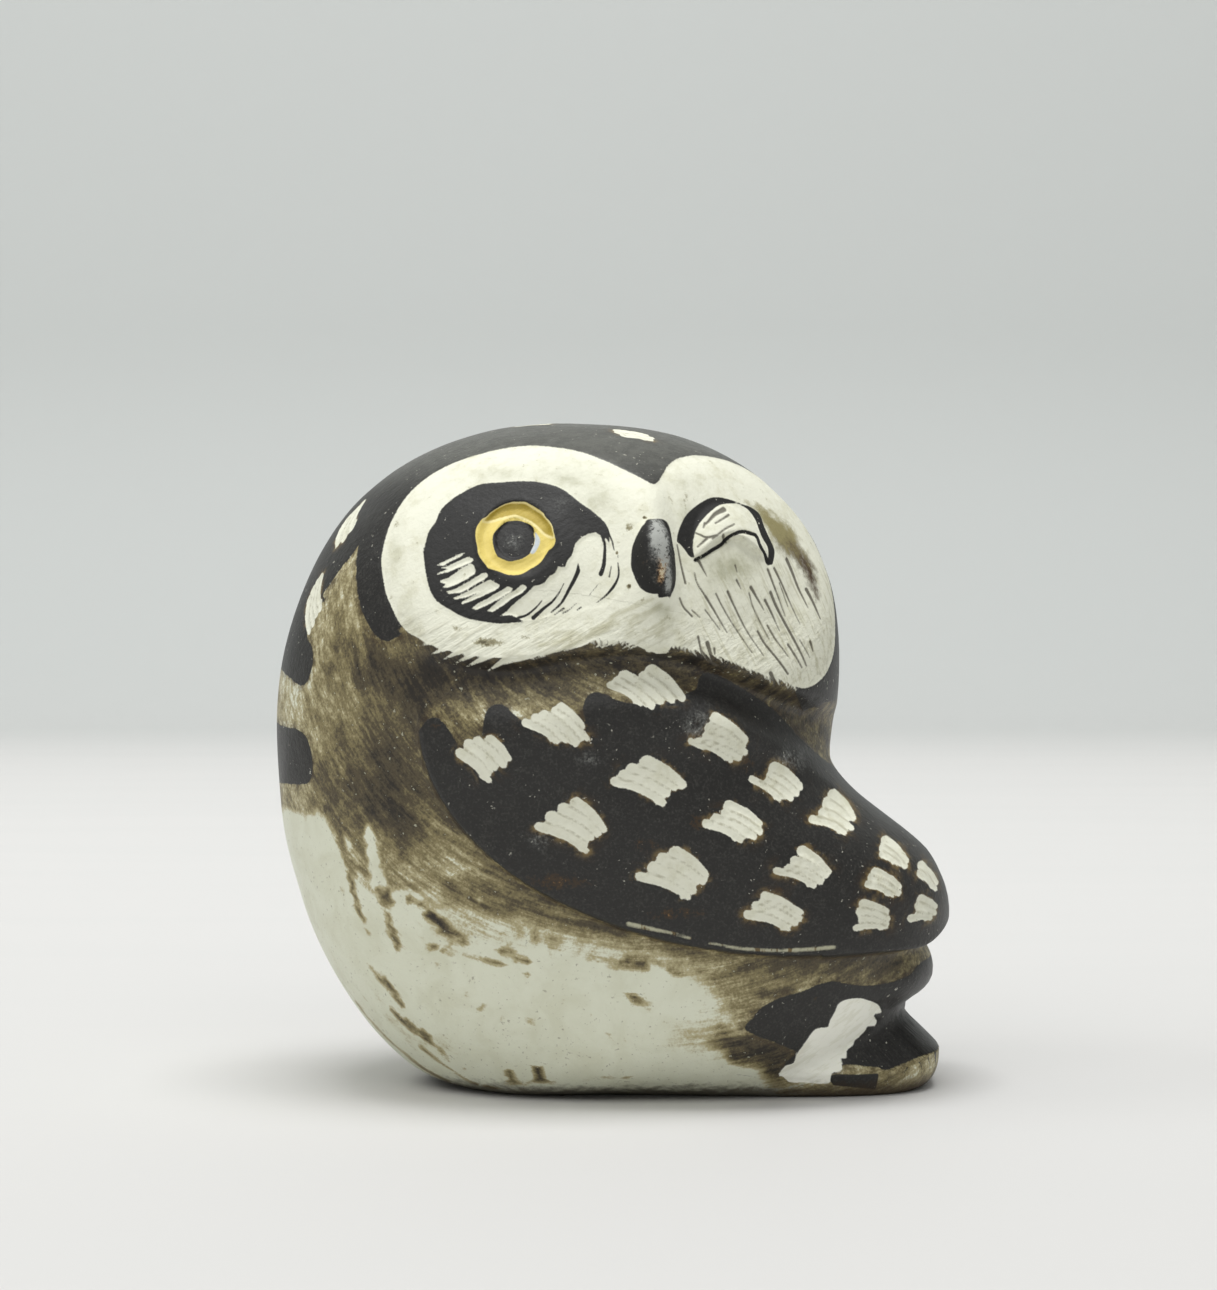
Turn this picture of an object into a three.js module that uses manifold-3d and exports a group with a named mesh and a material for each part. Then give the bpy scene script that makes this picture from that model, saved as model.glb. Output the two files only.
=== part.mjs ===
// Small hand-decorated stoneware owl, sitting, its head turned to look over its left side.
//
// Millimetres, +Z up. +X runs to the tail, the breast is at -X, and the owl's left side,
// the one it looks over, is at -Y. The origin is on the underside, below the middle.
//
// The owl is one hollow cast piece of fired clay, modelled as one solid. Its form is written
// as a distance-like function that is under zero inside: rounded masses run into each other,
// and the carved relief is added to that. A ball of triangles is then pushed out to the surface.

import * as THREE from 'three';
import { mergeVertices } from 'three/addons/utils/BufferGeometryUtils.js';
import Module from 'manifold-3d';

// Head
const HEAD = [-4.4, 0, 51.5];
const HEAD_RADII = [28.4, 25.5, 22.3];
const FACE_TURN = 19;                 // degrees from -Y towards +X that the face looks

// Trunk: breast and belly, the low flank, and the folded wings over the back
const BREAST = [-7.1, 0, 40];
const BREAST_RADII = [31, 24.2, 30];
const BREAST_DEPTH = 43.5;              // the same mass measured down from its centre
const FLANK = [3.4, 0, 16];
const FLANK_RADII = [29.8, 21.5, 16];
const FLANK_DEPTH = 20.5;
const BACK = [6.5, 0, 29.6];
const BACK_RADII = [28, 22.2, 10.2];
const BACK_DEPTH = 20;
const BACK_SLOPE = 19;                // degrees that the back falls to the tail
const RUMP = [26, 0, 12.8];           // the round of feathers between the wing tips and the tail
const RUMP_RADII = [9.6, 13, 7.2];
const RUMP_DEPTH = 4.6;

// Tail: a short fan lying on the table, with an upright rim
const TAIL_AT = 14;
const TAIL_RADII = [22.3, 14];
const TAIL_SQUARE = 2.8;
const TAIL_RIM = [2.7, 4.2];          // height of the rim at the sides and at the end
const TAIL_FALL = 0.92;               // how far the top leans in for each mm up
const TAIL_TOP = 11;

// Wing: its lower edge stands out from the belly, its upper edge is the shoulder
const WING_AT = [22, 42];
const WING_RADII = [43.2, 25.6];
const WING_END = 16.2;                // height of the lower edge behind the curve
const WING_TIP = 33;                  // from here the edge turns up to the tip
const WING_STEP = [1.2, 3];           // how far it stands out, at the front and at the tip
const SHOULDER = 46.6;
const SHOULDER_BEND = 9;
const SHOULDER_FALL = 0.7;

// Crease under the face: its height every 15 degrees round the head, from -75
const CREASE = [54, 53, 51, 48.9, 48.3, 49.4, 49.9, 48.6, 46.4, 44.2, 42.8, 42, 41.6, 41.5];
const CREASE_DEPTH = 1.9;

// Face: two shallow dishes with a ridge and the beak between them
const LEFT_DISC = [-10.2, 59.3];
const LEFT_DISC_RADII = [14.6, 11.6];
const RIGHT_DISC = [12.5, 58.3];
const RIGHT_DISC_RADII = [13.6, 12.2];
const DISH_DEPTH = 1.3;
const EYE = [-10.7, 61.3];
const IRIS_RADIUS = 4.2;
const IRIS_DEPTH = 0.7;
const PUPIL_RADIUS = 2.15;
const PUPIL_DEPTH = 0.3;
const LID = [10.4, 58.8];
const LID_RADII = [5.1, 6.3];
const LID_HEIGHT = 1.25;
const BEAK = [3.55, -21.5, 58.5];
const BEAK_RADII = [2.35, 3.9, 4.8];

// Underside: flat, with a soft turn into the belly, tighter under the breast than under the tail
const BASE_TURN = [2.6, 4.2];
const BASE_KEEL = 9;                  // past this far from the middle the underside lifts a little
const BASE_ARCH = { x: 5, half: 19, rise: 2.8 };   // between heel and tail it starts to lift nearer the middle
const BASE_TRIM = 0.3;

// Triangles: the ball's first division, then edges are halved where the form asks for it
const BALL_DETAIL = 11;
const CLOSE_ENOUGH = 0.1;             // mm that a triangle may be off the form
const SHORTEST_EDGE = 1.1;            // mm, the shortest edge halved for that
const RELIEF_EDGE = 1.25;             // mm, the longest edge left on the carved lines
const SOFT_EDGE = 2.4;                // mm, the longest left around them

const rad = THREE.MathUtils.degToRad;
const clamp = (v, a, b) => Math.min(Math.max(v, a), b);

// 0 before a, 1 after b, a soft step between them
function ease(a, b, v) {
  const t = clamp((v - a) / (b - a), 0, 1);
  return t * t * (3 - 2 * t);
}

// a hump of the given half width, 1 at its middle
function hump(v, width) {
  const t = Math.max(1 - (v / width) ** 2, 0);
  return t * t;
}

// two masses run together with a fillet of about k
function blend(a, b, k) {
  const h = clamp(0.5 + 0.5 * (b - a) / k, 0, 1);
  return b + (a - b) * h - k * h * (1 - h);
}

// one mass trimmed by another with a soft turn of about k
const trim = (a, b, k) => -blend(-a, -b, k);

// a smooth line through evenly spaced values
function through(values, start, step, at) {
  const u = clamp((at - start) / step, 0, values.length - 1.000001);
  const i = Math.floor(u);
  const k = u - i;
  const last = values.length - 1;
  const a = values[Math.max(i - 1, 0)];
  const b = values[i];
  const c = values[Math.min(i + 1, last)];
  const d = values[Math.min(i + 2, last)];
  return b + 0.5 * k * (c - a + k * (2 * a - 5 * b + 4 * c - d + k * (3 * (b - c) + d - a)));
}

// rounded mass: turned about Z, sloped down towards +X, with its own depth below the centre
function egg([x, y, z], at, radii, { square = 2, turn = 0, slope = 0, depth = radii[2] } = {}) {
  const a = x - at[0];
  const b = y - at[1];
  const h = z - at[2];
  const ct = Math.cos(rad(turn));
  const st = Math.sin(rad(turn));
  const cs = Math.cos(rad(slope));
  const ss = Math.sin(rad(slope));
  const u = a * ct + b * st;
  const v = -a * st + b * ct;
  const along = u * cs - h * ss;
  const up = u * ss + h * cs;
  const sum = Math.abs(along / radii[0]) ** square + Math.abs(v / radii[1]) ** square
    + Math.abs(up / (up < 0 ? depth : radii[2])) ** square;
  const reach = Math.max(sum ** (1 / square), 1e-6);
  return Math.hypot(along, v, up) * (1 - 1 / reach);
}

// the head's own measures of a point: across the face (+ to its right), and out to the front
function faceOf([x, y]) {
  const c = Math.cos(rad(FACE_TURN));
  const s = Math.sin(rad(FACE_TURN));
  const across = (x - HEAD[0]) * c + (y - HEAD[1]) * s;
  const front = (x - HEAD[0]) * s - (y - HEAD[1]) * c;
  return { across, front };
}

// the crease between the face and the neck: how far a point is below it, and its strength there
function creaseAt([x, y, z]) {
  const round = THREE.MathUtils.radToDeg(Math.atan2(x - HEAD[0], HEAD[1] - y));
  const below = through(CREASE, -75, 15, round) - z;
  const strength = ease(-48, -12, round) * ease(96, 62, round);
  return { below, strength };
}

// it is deepest right under the face
function crease(p) {
  const { below, strength } = creaseAt(p);
  return CREASE_DEPTH * strength * ease(-0.6, 1.3, below) * ease(7, 1.3, below);
}

// distance outside the wing's front and lower edge, in the side view
function wingEdge([x, , z]) {
  if (x > WING_AT[0]) return WING_END + 0.12 * Math.max(x - WING_TIP, 0) ** 2 - z;
  const a = x - WING_AT[0];
  const h = z - WING_AT[1];
  const reach = Math.max(Math.hypot(a / WING_RADII[0], h / WING_RADII[1]), 1e-6);
  return Math.hypot(a, h) * (1 - 1 / reach);
}

// height over the shoulder line, which falls to the tail
function overShoulder([x, , z]) {
  return z - SHOULDER + SHOULDER_FALL * 3 * Math.log1p(Math.exp((x - SHOULDER_BEND) / 3));
}

// how far the wing stands out, the same on both sides of the body
function wing(p) {
  const fade = 10.4 - 8 * ease(-2, 12, p[0]);
  const step = WING_STEP[0] + (WING_STEP[1] - WING_STEP[0]) * ease(18, 37, p[0]);
  return ease(0.4, -0.6, wingEdge(p)) * ease(0.6, -fade, overShoulder(p)) * step;
}

// dishes, ridge, open eye and closed lid
function faceRelief(p) {
  const { across, front } = faceOf(p);
  const [x, , z] = p;
  const left = across < 0;
  const [disc, radii] = left ? [LEFT_DISC, LEFT_DISC_RADII] : [RIGHT_DISC, RIGHT_DISC_RADII];
  const sideways = left ? x : across;
  const e = Math.hypot((sideways - disc[0]) / radii[0], (z - disc[1]) / radii[1]);
  let out = -DISH_DEPTH * ease(1.02, 0.45, e);
  out += 0.9 * hump(across - 0.8, 3.4) * ease(52, 56, z) * ease(70, 65.5, z);
  if (left) {
    const r = Math.hypot(x - EYE[0], z - EYE[1]);
    out -= IRIS_DEPTH * ease(IRIS_RADIUS, IRIS_RADIUS - 0.9, r);
    out -= PUPIL_DEPTH * ease(PUPIL_RADIUS + 0.15, PUPIL_RADIUS - 0.15, r);
  } else {
    const l = Math.hypot((across - LID[0]) / LID_RADII[0], (z - LID[1]) / LID_RADII[1]);
    const shut = LID[1] + 0.2 + 2.6 * hump(across - LID[0] + 0.2, 5.5);
    out += LID_HEIGHT * Math.max(1 - l * l, 0) ** 0.6 * ease(-0.5, 0.5, z - shut);
  }
  return out * ease(2, 8, front);
}

function body(p) {
  const [x, y, z] = p;
  const head = egg(p, HEAD, HEAD_RADII, { square: 2.2, turn: FACE_TURN });
  const breast = egg(p, BREAST, BREAST_RADII, { square: 2.1, depth: BREAST_DEPTH });
  const flank = egg(p, FLANK, FLANK_RADII, { square: 2.2, depth: FLANK_DEPTH });
  const back = egg(p, BACK, BACK_RADII, { square: 2.1, slope: BACK_SLOPE, depth: BACK_DEPTH });
  const rim = TAIL_RIM[0] + (TAIL_RIM[1] - TAIL_RIM[0]) * ease(27, 36.5, x);
  const a = Math.abs((x - TAIL_AT) / TAIL_RADII[0]) ** TAIL_SQUARE;
  const b = Math.abs(y / TAIL_RADII[1]) ** TAIL_SQUARE;
  const reach = Math.max((a + b) ** (1 / TAIL_SQUARE), 1e-6);
  const fan = Math.hypot(x - TAIL_AT, y) * (1 - 1 / reach) + TAIL_FALL * Math.max(z - rim, 0);
  const tail = trim(fan, z - TAIL_TOP, 2);
  const rump = egg(p, RUMP, RUMP_RADII, { depth: RUMP_DEPTH });
  const trunk = blend(blend(blend(head, breast, 6), flank, 3), back, 6);
  return blend(blend(trunk, rump, 1.2), tail, 2.2);
}

function form(p) {
  const clay = body(p) - wing(p) + crease(p) - faceRelief(p);
  const beak = egg(p, BEAK, BEAK_RADII, { square: 2.3, turn: FACE_TURN });
  const keel = BASE_KEEL - BASE_ARCH.rise * hump(p[0] - BASE_ARCH.x, BASE_ARCH.half);
  const lift = 0.02 * Math.max(Math.abs(p[1]) - keel, 0) ** 2;
  const turn = BASE_TURN[0] + (BASE_TURN[1] - BASE_TURN[0]) * ease(-12, 12, p[0]);
  return trim(blend(clay, beak, 0.5), lift - BASE_TRIM - p[2], turn);
}

// a ray leaves the Z axis in direction d; steep rays start further from the owl's middle
const onRay = (d, r) => [d.x * r, d.y * r, d.z * (r + 15) + 42];

function surface(d) {
  let near = 12;
  while (form(onRay(d, near + 0.5)) < 0) near += 0.5;
  let far = near + 0.5;
  for (let i = 0; i < 16; i += 1) {
    const mid = (near + far) / 2;
    if (form(onRay(d, mid)) < 0) near = mid;
    else far = mid;
  }
  return new THREE.Vector3(...onRay(d, (near + far) / 2));
}

// first ball
const ball = new THREE.IcosahedronGeometry(1, BALL_DETAIL);
ball.deleteAttribute('normal');
ball.deleteAttribute('uv');
const merged = mergeVertices(ball, 1e-5);
const rays = [];
for (let i = 0; i < merged.attributes.position.count; i += 1) {
  rays.push(new THREE.Vector3().fromBufferAttribute(merged.attributes.position, i).normalize());
}
const points = rays.map(surface);
let triangles = [];
for (let i = 0; i < merged.index.count; i += 3) {
  triangles.push([0, 1, 2].map((k) => merged.index.getX(i + k)));
}

// the longest edge wanted at a point: short on the carved lines, so that they stay clean
function longestEdge(p) {
  const [x, y, z] = p;
  const { across, front } = faceOf(p);
  const { below, strength } = creaseAt(p);
  const edge = Math.abs(wingEdge(p));
  const side = Math.abs(y) > 8 && z < 48 && x < 37;
  if (front > 8) {
    const eye = Math.hypot(x - EYE[0], z - EYE[1]);
    if (across < 0 && eye < IRIS_RADIUS + 0.9) return RELIEF_EDGE;
    if (Math.abs(across - LID[0]) < 6.2 && z > 58 && z < 66) return RELIEF_EDGE;
    if (Math.hypot(x - BEAK[0], z - BEAK[2]) < 5 && Math.abs(across - 1) < 3.4) return RELIEF_EDGE;
    if (strength > 0.2 && below > -1.4 && below < 2.2) return RELIEF_EDGE;
  }
  if (side && edge < 0.8) return RELIEF_EDGE;
  if (strength > 0.1 && below > -2 && below < 7) return SOFT_EDGE;
  if (side && edge < 2) return SOFT_EDGE;
  if (x > 6 && Math.abs(overShoulder(p)) < 2) return SOFT_EDGE;
  if (x > 20 && z < 12) return SOFT_EDGE;
  return Infinity;
}

// an edge is halved when it is too long for its place, or the surface over its middle too far off
const halves = new Map();
function halfway(a, b) {
  const key = a < b ? `${a}_${b}` : `${b}_${a}`;
  if (!halves.has(key)) {
    const ray = rays[a].clone().add(rays[b]).normalize();
    const point = surface(ray);
    const chord = new THREE.Line3(points[a], points[b]);
    const off = chord.closestPointToPoint(point, true, new THREE.Vector3()).distanceTo(point);
    const long = chord.distance();
    const rough = off > CLOSE_ENOUGH && long > SHORTEST_EDGE;
    const needed = point.z > 0.4 && (rough || long > longestEdge(point.toArray()));
    halves.set(key, { ray, point, needed, index: -1 });
  }
  return halves.get(key);
}
function middleOf(a, b) {
  const half = halfway(a, b);
  if (!half.needed) return -1;
  if (half.index < 0) {
    half.index = points.length;
    points.push(half.point);
    rays.push(half.ray);
  }
  return half.index;
}
for (let round = 0; round < 3; round += 1) {
  const next = [];
  for (const [a, b, c] of triangles) {
    const mids = [middleOf(a, b), middleOf(b, c), middleOf(c, a)];
    const count = mids.filter((m) => m >= 0).length;
    if (count === 3) {
      const [ab, bc, ca] = mids;
      next.push([a, ab, ca], [ab, b, bc], [ca, bc, c], [ab, bc, ca]);
    } else if (count === 0) {
      next.push([a, b, c]);
    } else {
      // turned so that the first edge is halved, and with two halves the last isn't
      const turn = mids.findIndex((m, i) => m >= 0 && (count === 1 || mids[(i + 2) % 3] < 0));
      const [p, q, r] = [0, 1, 2].map((i) => [a, b, c][(i + turn) % 3]);
      const pq = mids[turn];
      const qr = mids[(turn + 1) % 3];
      if (count === 1) next.push([p, pq, r], [pq, q, r]);
      else next.push([p, pq, r], [pq, qr, r], [pq, q, qr]);
    }
  }
  triangles = next;
}

// the underside is cut flat at the table
const wasm = await Module();
wasm.setup();

function solidOf(geometry) {
  const clean = geometry.clone();
  clean.deleteAttribute('normal');
  clean.deleteAttribute('uv');
  const closed = mergeVertices(clean, 1e-4);
  return new wasm.Manifold(new wasm.Mesh({
    numProp: 3,
    vertProperties: new Float32Array(closed.attributes.position.array),
    triVerts: new Uint32Array(closed.index.array),
  }));
}

const blown = new THREE.BufferGeometry();
blown.setAttribute('position', new THREE.Float32BufferAttribute(points.flatMap((v) => v.toArray()), 3));
blown.setIndex(triangles.flat());
const table = new THREE.BoxGeometry(120, 120, 20);
table.translate(0, 0, -10);
const cut = solidOf(blown).subtract(solidOf(table)).getMesh();

const shape = new THREE.BufferGeometry();
shape.setAttribute('position', new THREE.BufferAttribute(new Float32Array(cut.vertProperties), 3));
shape.setIndex(new THREE.BufferAttribute(new Uint32Array(cut.triVerts), 1));
shape.computeVertexNormals();

// the origin comes exactly below the middle of the whole owl
shape.computeBoundingBox();
const middle = shape.boundingBox.getCenter(new THREE.Vector3());
shape.translate(-middle.x, -middle.y, 0);

const glaze = new THREE.MeshStandardMaterial({ color: 0xc8cbb9, roughness: 0.55, metalness: 0 });
const owl = new THREE.Mesh(shape, glaze);
owl.name = 'owl';

const group = new THREE.Group();
group.add(owl);
export default group;
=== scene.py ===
# %% [markdown]
# A small stoneware owl, modelled and painted the way it was made: one hollow-cast body, brown wash, cream
# glaze, black slip, and whites scraped back to the clay with a loop tool. This file takes the finished
# solid as its frame, lays a much finer skin over the same form, cuts the tool marks into it and paints
# it. Everything on the owl is one piece, as in the real one.

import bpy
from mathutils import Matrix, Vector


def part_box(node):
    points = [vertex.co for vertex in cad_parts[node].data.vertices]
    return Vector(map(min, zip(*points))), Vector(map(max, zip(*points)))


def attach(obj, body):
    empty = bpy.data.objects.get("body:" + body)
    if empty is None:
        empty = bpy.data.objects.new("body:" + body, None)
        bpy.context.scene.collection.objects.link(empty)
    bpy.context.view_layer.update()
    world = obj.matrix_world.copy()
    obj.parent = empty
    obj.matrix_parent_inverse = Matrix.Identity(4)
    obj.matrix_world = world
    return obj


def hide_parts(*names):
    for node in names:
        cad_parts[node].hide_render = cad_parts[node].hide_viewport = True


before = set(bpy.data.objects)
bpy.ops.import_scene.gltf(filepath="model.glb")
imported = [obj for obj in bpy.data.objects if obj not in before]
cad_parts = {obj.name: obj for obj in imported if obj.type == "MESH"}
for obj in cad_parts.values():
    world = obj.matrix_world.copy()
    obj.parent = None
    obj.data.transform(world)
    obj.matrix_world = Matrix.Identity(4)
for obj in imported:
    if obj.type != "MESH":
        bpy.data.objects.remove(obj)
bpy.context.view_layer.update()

# %% [markdown]
# The photograph was taken from about the owl's own height, with a long lens, which keeps its outline
# nearly free of perspective. A camera of about 100 mm set 40 cm away and tipped down by two degrees gives
# the same lines. The lens is worked out from how many of the picture's points one radian covers.

# %% Camera
import math
from mathutils import Matrix, Vector
import bmesh
import bpy

PICTURE_HEIGHT = 1290
POINTS_PER_RADIAN = 3563
SENSOR = 36.0
CAMERA_AT = (-0.0005, -0.400, 0.065)
CAMERA_TIP = 2.27
NEAREST, FURTHEST = 0.05, 20

camera_data = bpy.data.cameras.new("camera")
camera_data.sensor_width = SENSOR
camera_data.lens = SENSOR * POINTS_PER_RADIAN / PICTURE_HEIGHT
camera_data.clip_start, camera_data.clip_end = NEAREST, FURTHEST
camera = bpy.data.objects.new("camera", camera_data)
camera.location = CAMERA_AT
camera.rotation_euler = (math.radians(90 - CAMERA_TIP), 0, 0)
bpy.context.scene.collection.objects.link(camera)
bpy.context.scene.camera = camera
bpy.context.scene.view_settings.view_transform = "Standard"
print("lens", round(camera_data.lens, 2), "mm")

# %% [markdown]
# Materials are written as sums and products of what they read. The small class below wraps a socket, so
# that 1 - mask or noise * 0.5 adds the Math node by itself, and one method makes every other node.

# %% Shader words


class Sock:
    """A socket that can be used in sums."""

    def __init__(self, owner, socket):
        self.owner, self.socket = owner, socket

    def _math(self, operation, a, b):
        return self.owner.node("ShaderNodeMath", {"operation": operation}, {0: a, 1: b})[0]

    def __add__(self, other):
        return self._math("ADD", self, other)

    def __sub__(self, other):
        return self._math("SUBTRACT", self, other)

    def __rsub__(self, other):
        return self._math("SUBTRACT", other, self)

    def __mul__(self, other):
        return self._math("MULTIPLY", self, other)

    def __truediv__(self, other):
        return self._math("DIVIDE", self, other)

    def most(self, other):
        return self._math("MAXIMUM", self, other)

    def power(self, other):
        return self._math("POWER", self, other)

    def between(self, low, high):
        """0 at low, 1 at high, smooth between."""
        settings = {"interpolation_type": "SMOOTHSTEP", "clamp": True}
        return self.owner.node("ShaderNodeMapRange", settings, {0: self, 1: low, 2: high, 3: 0.0, 4: 1.0})[0]

    __radd__, __rmul__ = __add__, __mul__


class Finish:
    """A material, and the one way to add a node to it."""

    def __init__(self, name):
        self.material = bpy.data.materials.new(name)
        self.material.use_nodes = True
        self.tree = self.material.node_tree
        self.shader = self.tree.nodes["Principled BSDF"]

    def node(self, kind, settings=None, inputs=None):
        """Any node: its settings first, then what its sockets are given."""
        made = self.tree.nodes.new(kind)
        for key, value in (settings or {}).items():
            setattr(made, key, value)
        for key, value in (inputs or {}).items():
            self.feed(made.inputs[key], value)
        return [Sock(self, out) for out in made.outputs]

    def feed(self, target, value):
        if isinstance(value, Sock):
            self.tree.links.new(value.socket, target)
        else:
            target.default_value = value

    def mix(self, share, under, over):
        """A colour laid over another by a share from 0 to 1."""
        return self.node("ShaderNodeMix", {"data_type": "RGBA"}, {0: share, 6: under, 7: over})[2]

    def noise(self, where, scale, detail=2.0, rough=0.5, bent=0.0):
        """Noise around 0.5; a larger scale gives smaller grain."""
        inputs = {"Vector": where, "Scale": scale, "Detail": detail, "Roughness": rough, "Distortion": bent}
        return self.node("ShaderNodeTexNoise", {}, inputs)[0]

    def attribute(self, name):
        """A number that the mesh keeps for each of its points."""
        return self.node("ShaderNodeAttribute", {"attribute_name": name})[2]

    def along(self, where, turn, stretch):
        """A place turned about Y by degrees and drawn out along its first axis."""
        inputs = {"Vector": where, "Rotation": (0, math.radians(turn), 0), "Scale": stretch}
        return self.node("ShaderNodeMapping", {"vector_type": "TEXTURE"}, inputs)[0]


def tone(red, green, blue):
    """A colour as the eye reads it, 0 to 255, turned to light."""
    shares = [v / 255 for v in (red, green, blue)]
    return tuple(v / 12.92 if v <= 0.04045 else ((v + 0.055) / 1.055) ** 2.4 for v in shares) + (1.0,)


print("middle grey is", round(tone(128, 128, 128)[0], 3), "of full light")

# %% [markdown]
# The stage is a pale painted table top that runs back to a plain wall, and the two melt into each other.
# One strip does both: its floor turns up in a curve, and its colour eases from white to pale grey there.
# Close to the camera the table is painted a little greyer, a painted shade that leaves its back lighter.

# %% Table and wall
STAGE_FRONT, TABLE_BACK, STAGE_HALF = -1.2, 0.62, 2.0
WALL_RADIUS, WALL_STEPS, WALL_HEIGHT = 0.12, 16, 1.6
LEVEL, MILLIMETRE = 1e-6, 0.001
WHITE_TABLE, NEAR_TABLE_SHADE, GREY_WALL = tone(226, 225, 223), tone(208, 207, 205), tone(204, 207, 205)
NEAR_SHADE_FADE, WALL_FADE = (-0.15, 0.45), (0.46, 0.74)
BRUSH_DRAWN, BRUSH_SIZE, BRUSH_SHARE, BRUSH_BUMP = (9, 1, 1), 60, 0.08, 0.12
TABLE_ROUGHNESS = 0.7

bm = bmesh.new()
front_edge = bm.edges.new([bm.verts.new((side, STAGE_FRONT, 0)) for side in (-STAGE_HALF, STAGE_HALF)])


def drawn_on(geometry, offset):
    """The edges of a strip after they are drawn on by an offset."""
    made = bmesh.ops.extrude_edge_only(bm, edges=geometry)["geom"]
    moved = [v for v in made if isinstance(v, bmesh.types.BMVert)]
    bmesh.ops.translate(bm, verts=moved, vec=offset)
    return [e for e in made if isinstance(e, bmesh.types.BMEdge)]


last = drawn_on([front_edge], (0, TABLE_BACK - STAGE_FRONT, 0))
last = [e for e in last if abs(e.verts[0].co.y - e.verts[1].co.y) < LEVEL]
turned_up = bmesh.ops.spin(bm, geom=last + [v for e in last for v in e.verts], angle=math.radians(90),
                           steps=WALL_STEPS, axis=(1, 0, 0), cent=(0, TABLE_BACK, WALL_RADIUS),
                           use_duplicate=False)["geom_last"]
drawn_on([e for e in turned_up if isinstance(e, bmesh.types.BMEdge)], (0, 0, WALL_HEIGHT))
bmesh.ops.recalc_face_normals(bm, faces=bm.faces)
stage_mesh = bpy.data.meshes.new("stage")
bm.to_mesh(stage_mesh)
bm.free()
stage_mesh.polygons.foreach_set("use_smooth", [True] * len(stage_mesh.polygons))
stage = bpy.data.objects.new("stage", stage_mesh)
bpy.context.scene.collection.objects.link(stage)

paint = Finish("painted board")
spot = paint.node("ShaderNodeTexCoord")[3]
separate = paint.node("ShaderNodeSeparateXYZ", {}, {0: spot})
grain = paint.noise(paint.along(spot, 0, BRUSH_DRAWN), BRUSH_SIZE, 3, 0.55)
back = separate[1].between(*WALL_FADE)
# painted shade: the table darkens towards the camera and is lighter towards the back
board = paint.mix(separate[1].between(*NEAR_SHADE_FADE), NEAR_TABLE_SHADE, WHITE_TABLE)
board = paint.mix(grain.between(0.35, 0.75) * BRUSH_SHARE, board, GREY_WALL)
paint.feed(paint.shader.inputs["Base Color"], paint.mix(back, board, GREY_WALL))
paint.shader.inputs["Roughness"].default_value = TABLE_ROUGHNESS
brushed = {"Strength": BRUSH_BUMP, "Distance": MILLIMETRE, "Height": grain * (1 - back)}
bump = paint.node("ShaderNodeBump", {}, brushed)[0]
paint.feed(paint.shader.inputs["Normal"], bump)
stage_mesh.materials.append(paint.material)
print("stage faces:", len(stage_mesh.polygons))

# %% [markdown]
# The light comes from straight overhead and from high in front, with a weak lamp and a window on the left
# and a pale room around. The owl's shadow then lies close around its foot, longer to the left, and only
# the gap under the belly goes dark.

# %% Lights
LIGHTS = [
    ("overhead", (0.0, -0.07, 1.10), (0.7, 0.4), 9.0),
    ("front", (-0.2, -1.0, 1.1), (1.8, 0.7), 6.2),
    ("left lamp", (-0.85, -0.10, 0.9), (0.4, 0.4), 1.8),
    ("window", (-1.2, -0.9, 0.9), (1.0, 1.0), 0.8)]
AIMED_AT = Vector((0, 0, 0.04))
ROOM_TONE, ROOM_LIGHT = (0.97, 0.985, 0.97, 1), 0.31

for name, place, size, power in LIGHTS:
    data = bpy.data.lights.new(name, "AREA")
    data.shape, data.energy = "RECTANGLE", power
    data.size, data.size_y = size
    light = bpy.data.objects.new(name, data)
    light.location = place
    light.rotation_euler = (AIMED_AT - Vector(place)).to_track_quat("-Z", "Y").to_euler()
    bpy.context.scene.collection.objects.link(light)
world = bpy.data.worlds.new("room")
world.use_nodes = True
background = world.node_tree.nodes["Background"]
background.inputs["Color"].default_value = ROOM_TONE
background.inputs["Strength"].default_value = ROOM_LIGHT
bpy.context.scene.world = world
print("lights:", [name for name, *_ in LIGHTS])

# %% [markdown]
# The figurine is slip-cast: one closed skin, pressed smooth, with no seam left to see. Such a body could
# be sculpted, or laid up from blended eggs. Blended eggs are used here, because the solid of the frame
# is drawn from the same ones: a head, a breast, a flank, a back and a flat tail, each with its own radii,
# run into one another like wet clay. Lengths in these cells are millimetres, as a maker would note them.

# %% Blending of clay
import numpy as np

TINY = 1e-6


def ease(start, end, x):
    """0 before start, 1 after end, smooth between them; start may lie after end."""
    t = np.clip((x - start) / (end - start), 0, 1)
    return t * t * (3 - 2 * t)


def hump(x, half_width):
    """1 at 0, falling smoothly to 0 at half_width on either side."""
    t = np.clip(1 - (x / half_width) ** 2, 0, 1)
    return t * t


def blend(a, b, radius):
    """Join of two bodies with a soft fillet of about that radius."""
    share = np.clip(0.5 + 0.5 * (b - a) / radius, 0, 1)
    return b + (a - b) * share - radius * share * (1 - share)


def trim(a, b, radius):
    """What two bodies share, with a softened edge."""
    return -blend(-a, -b, radius)


def through(values, steps):
    """A smooth curve through evenly spaced values, read at steps counted from the first one."""
    v = np.array(values, float)
    u = np.clip(steps, 0, len(v) - 1.000001)
    i = u.astype(int)
    k = u - i
    before, here = v[np.maximum(i - 1, 0)], v[i]
    after, later = v[np.minimum(i + 1, len(v) - 1)], v[np.minimum(i + 2, len(v) - 1)]
    bend = 2 * before - 5 * here + 4 * after - later + k * (3 * (here - after) + later - before)
    return here + 0.5 * k * (after - before + k * bend)


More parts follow.
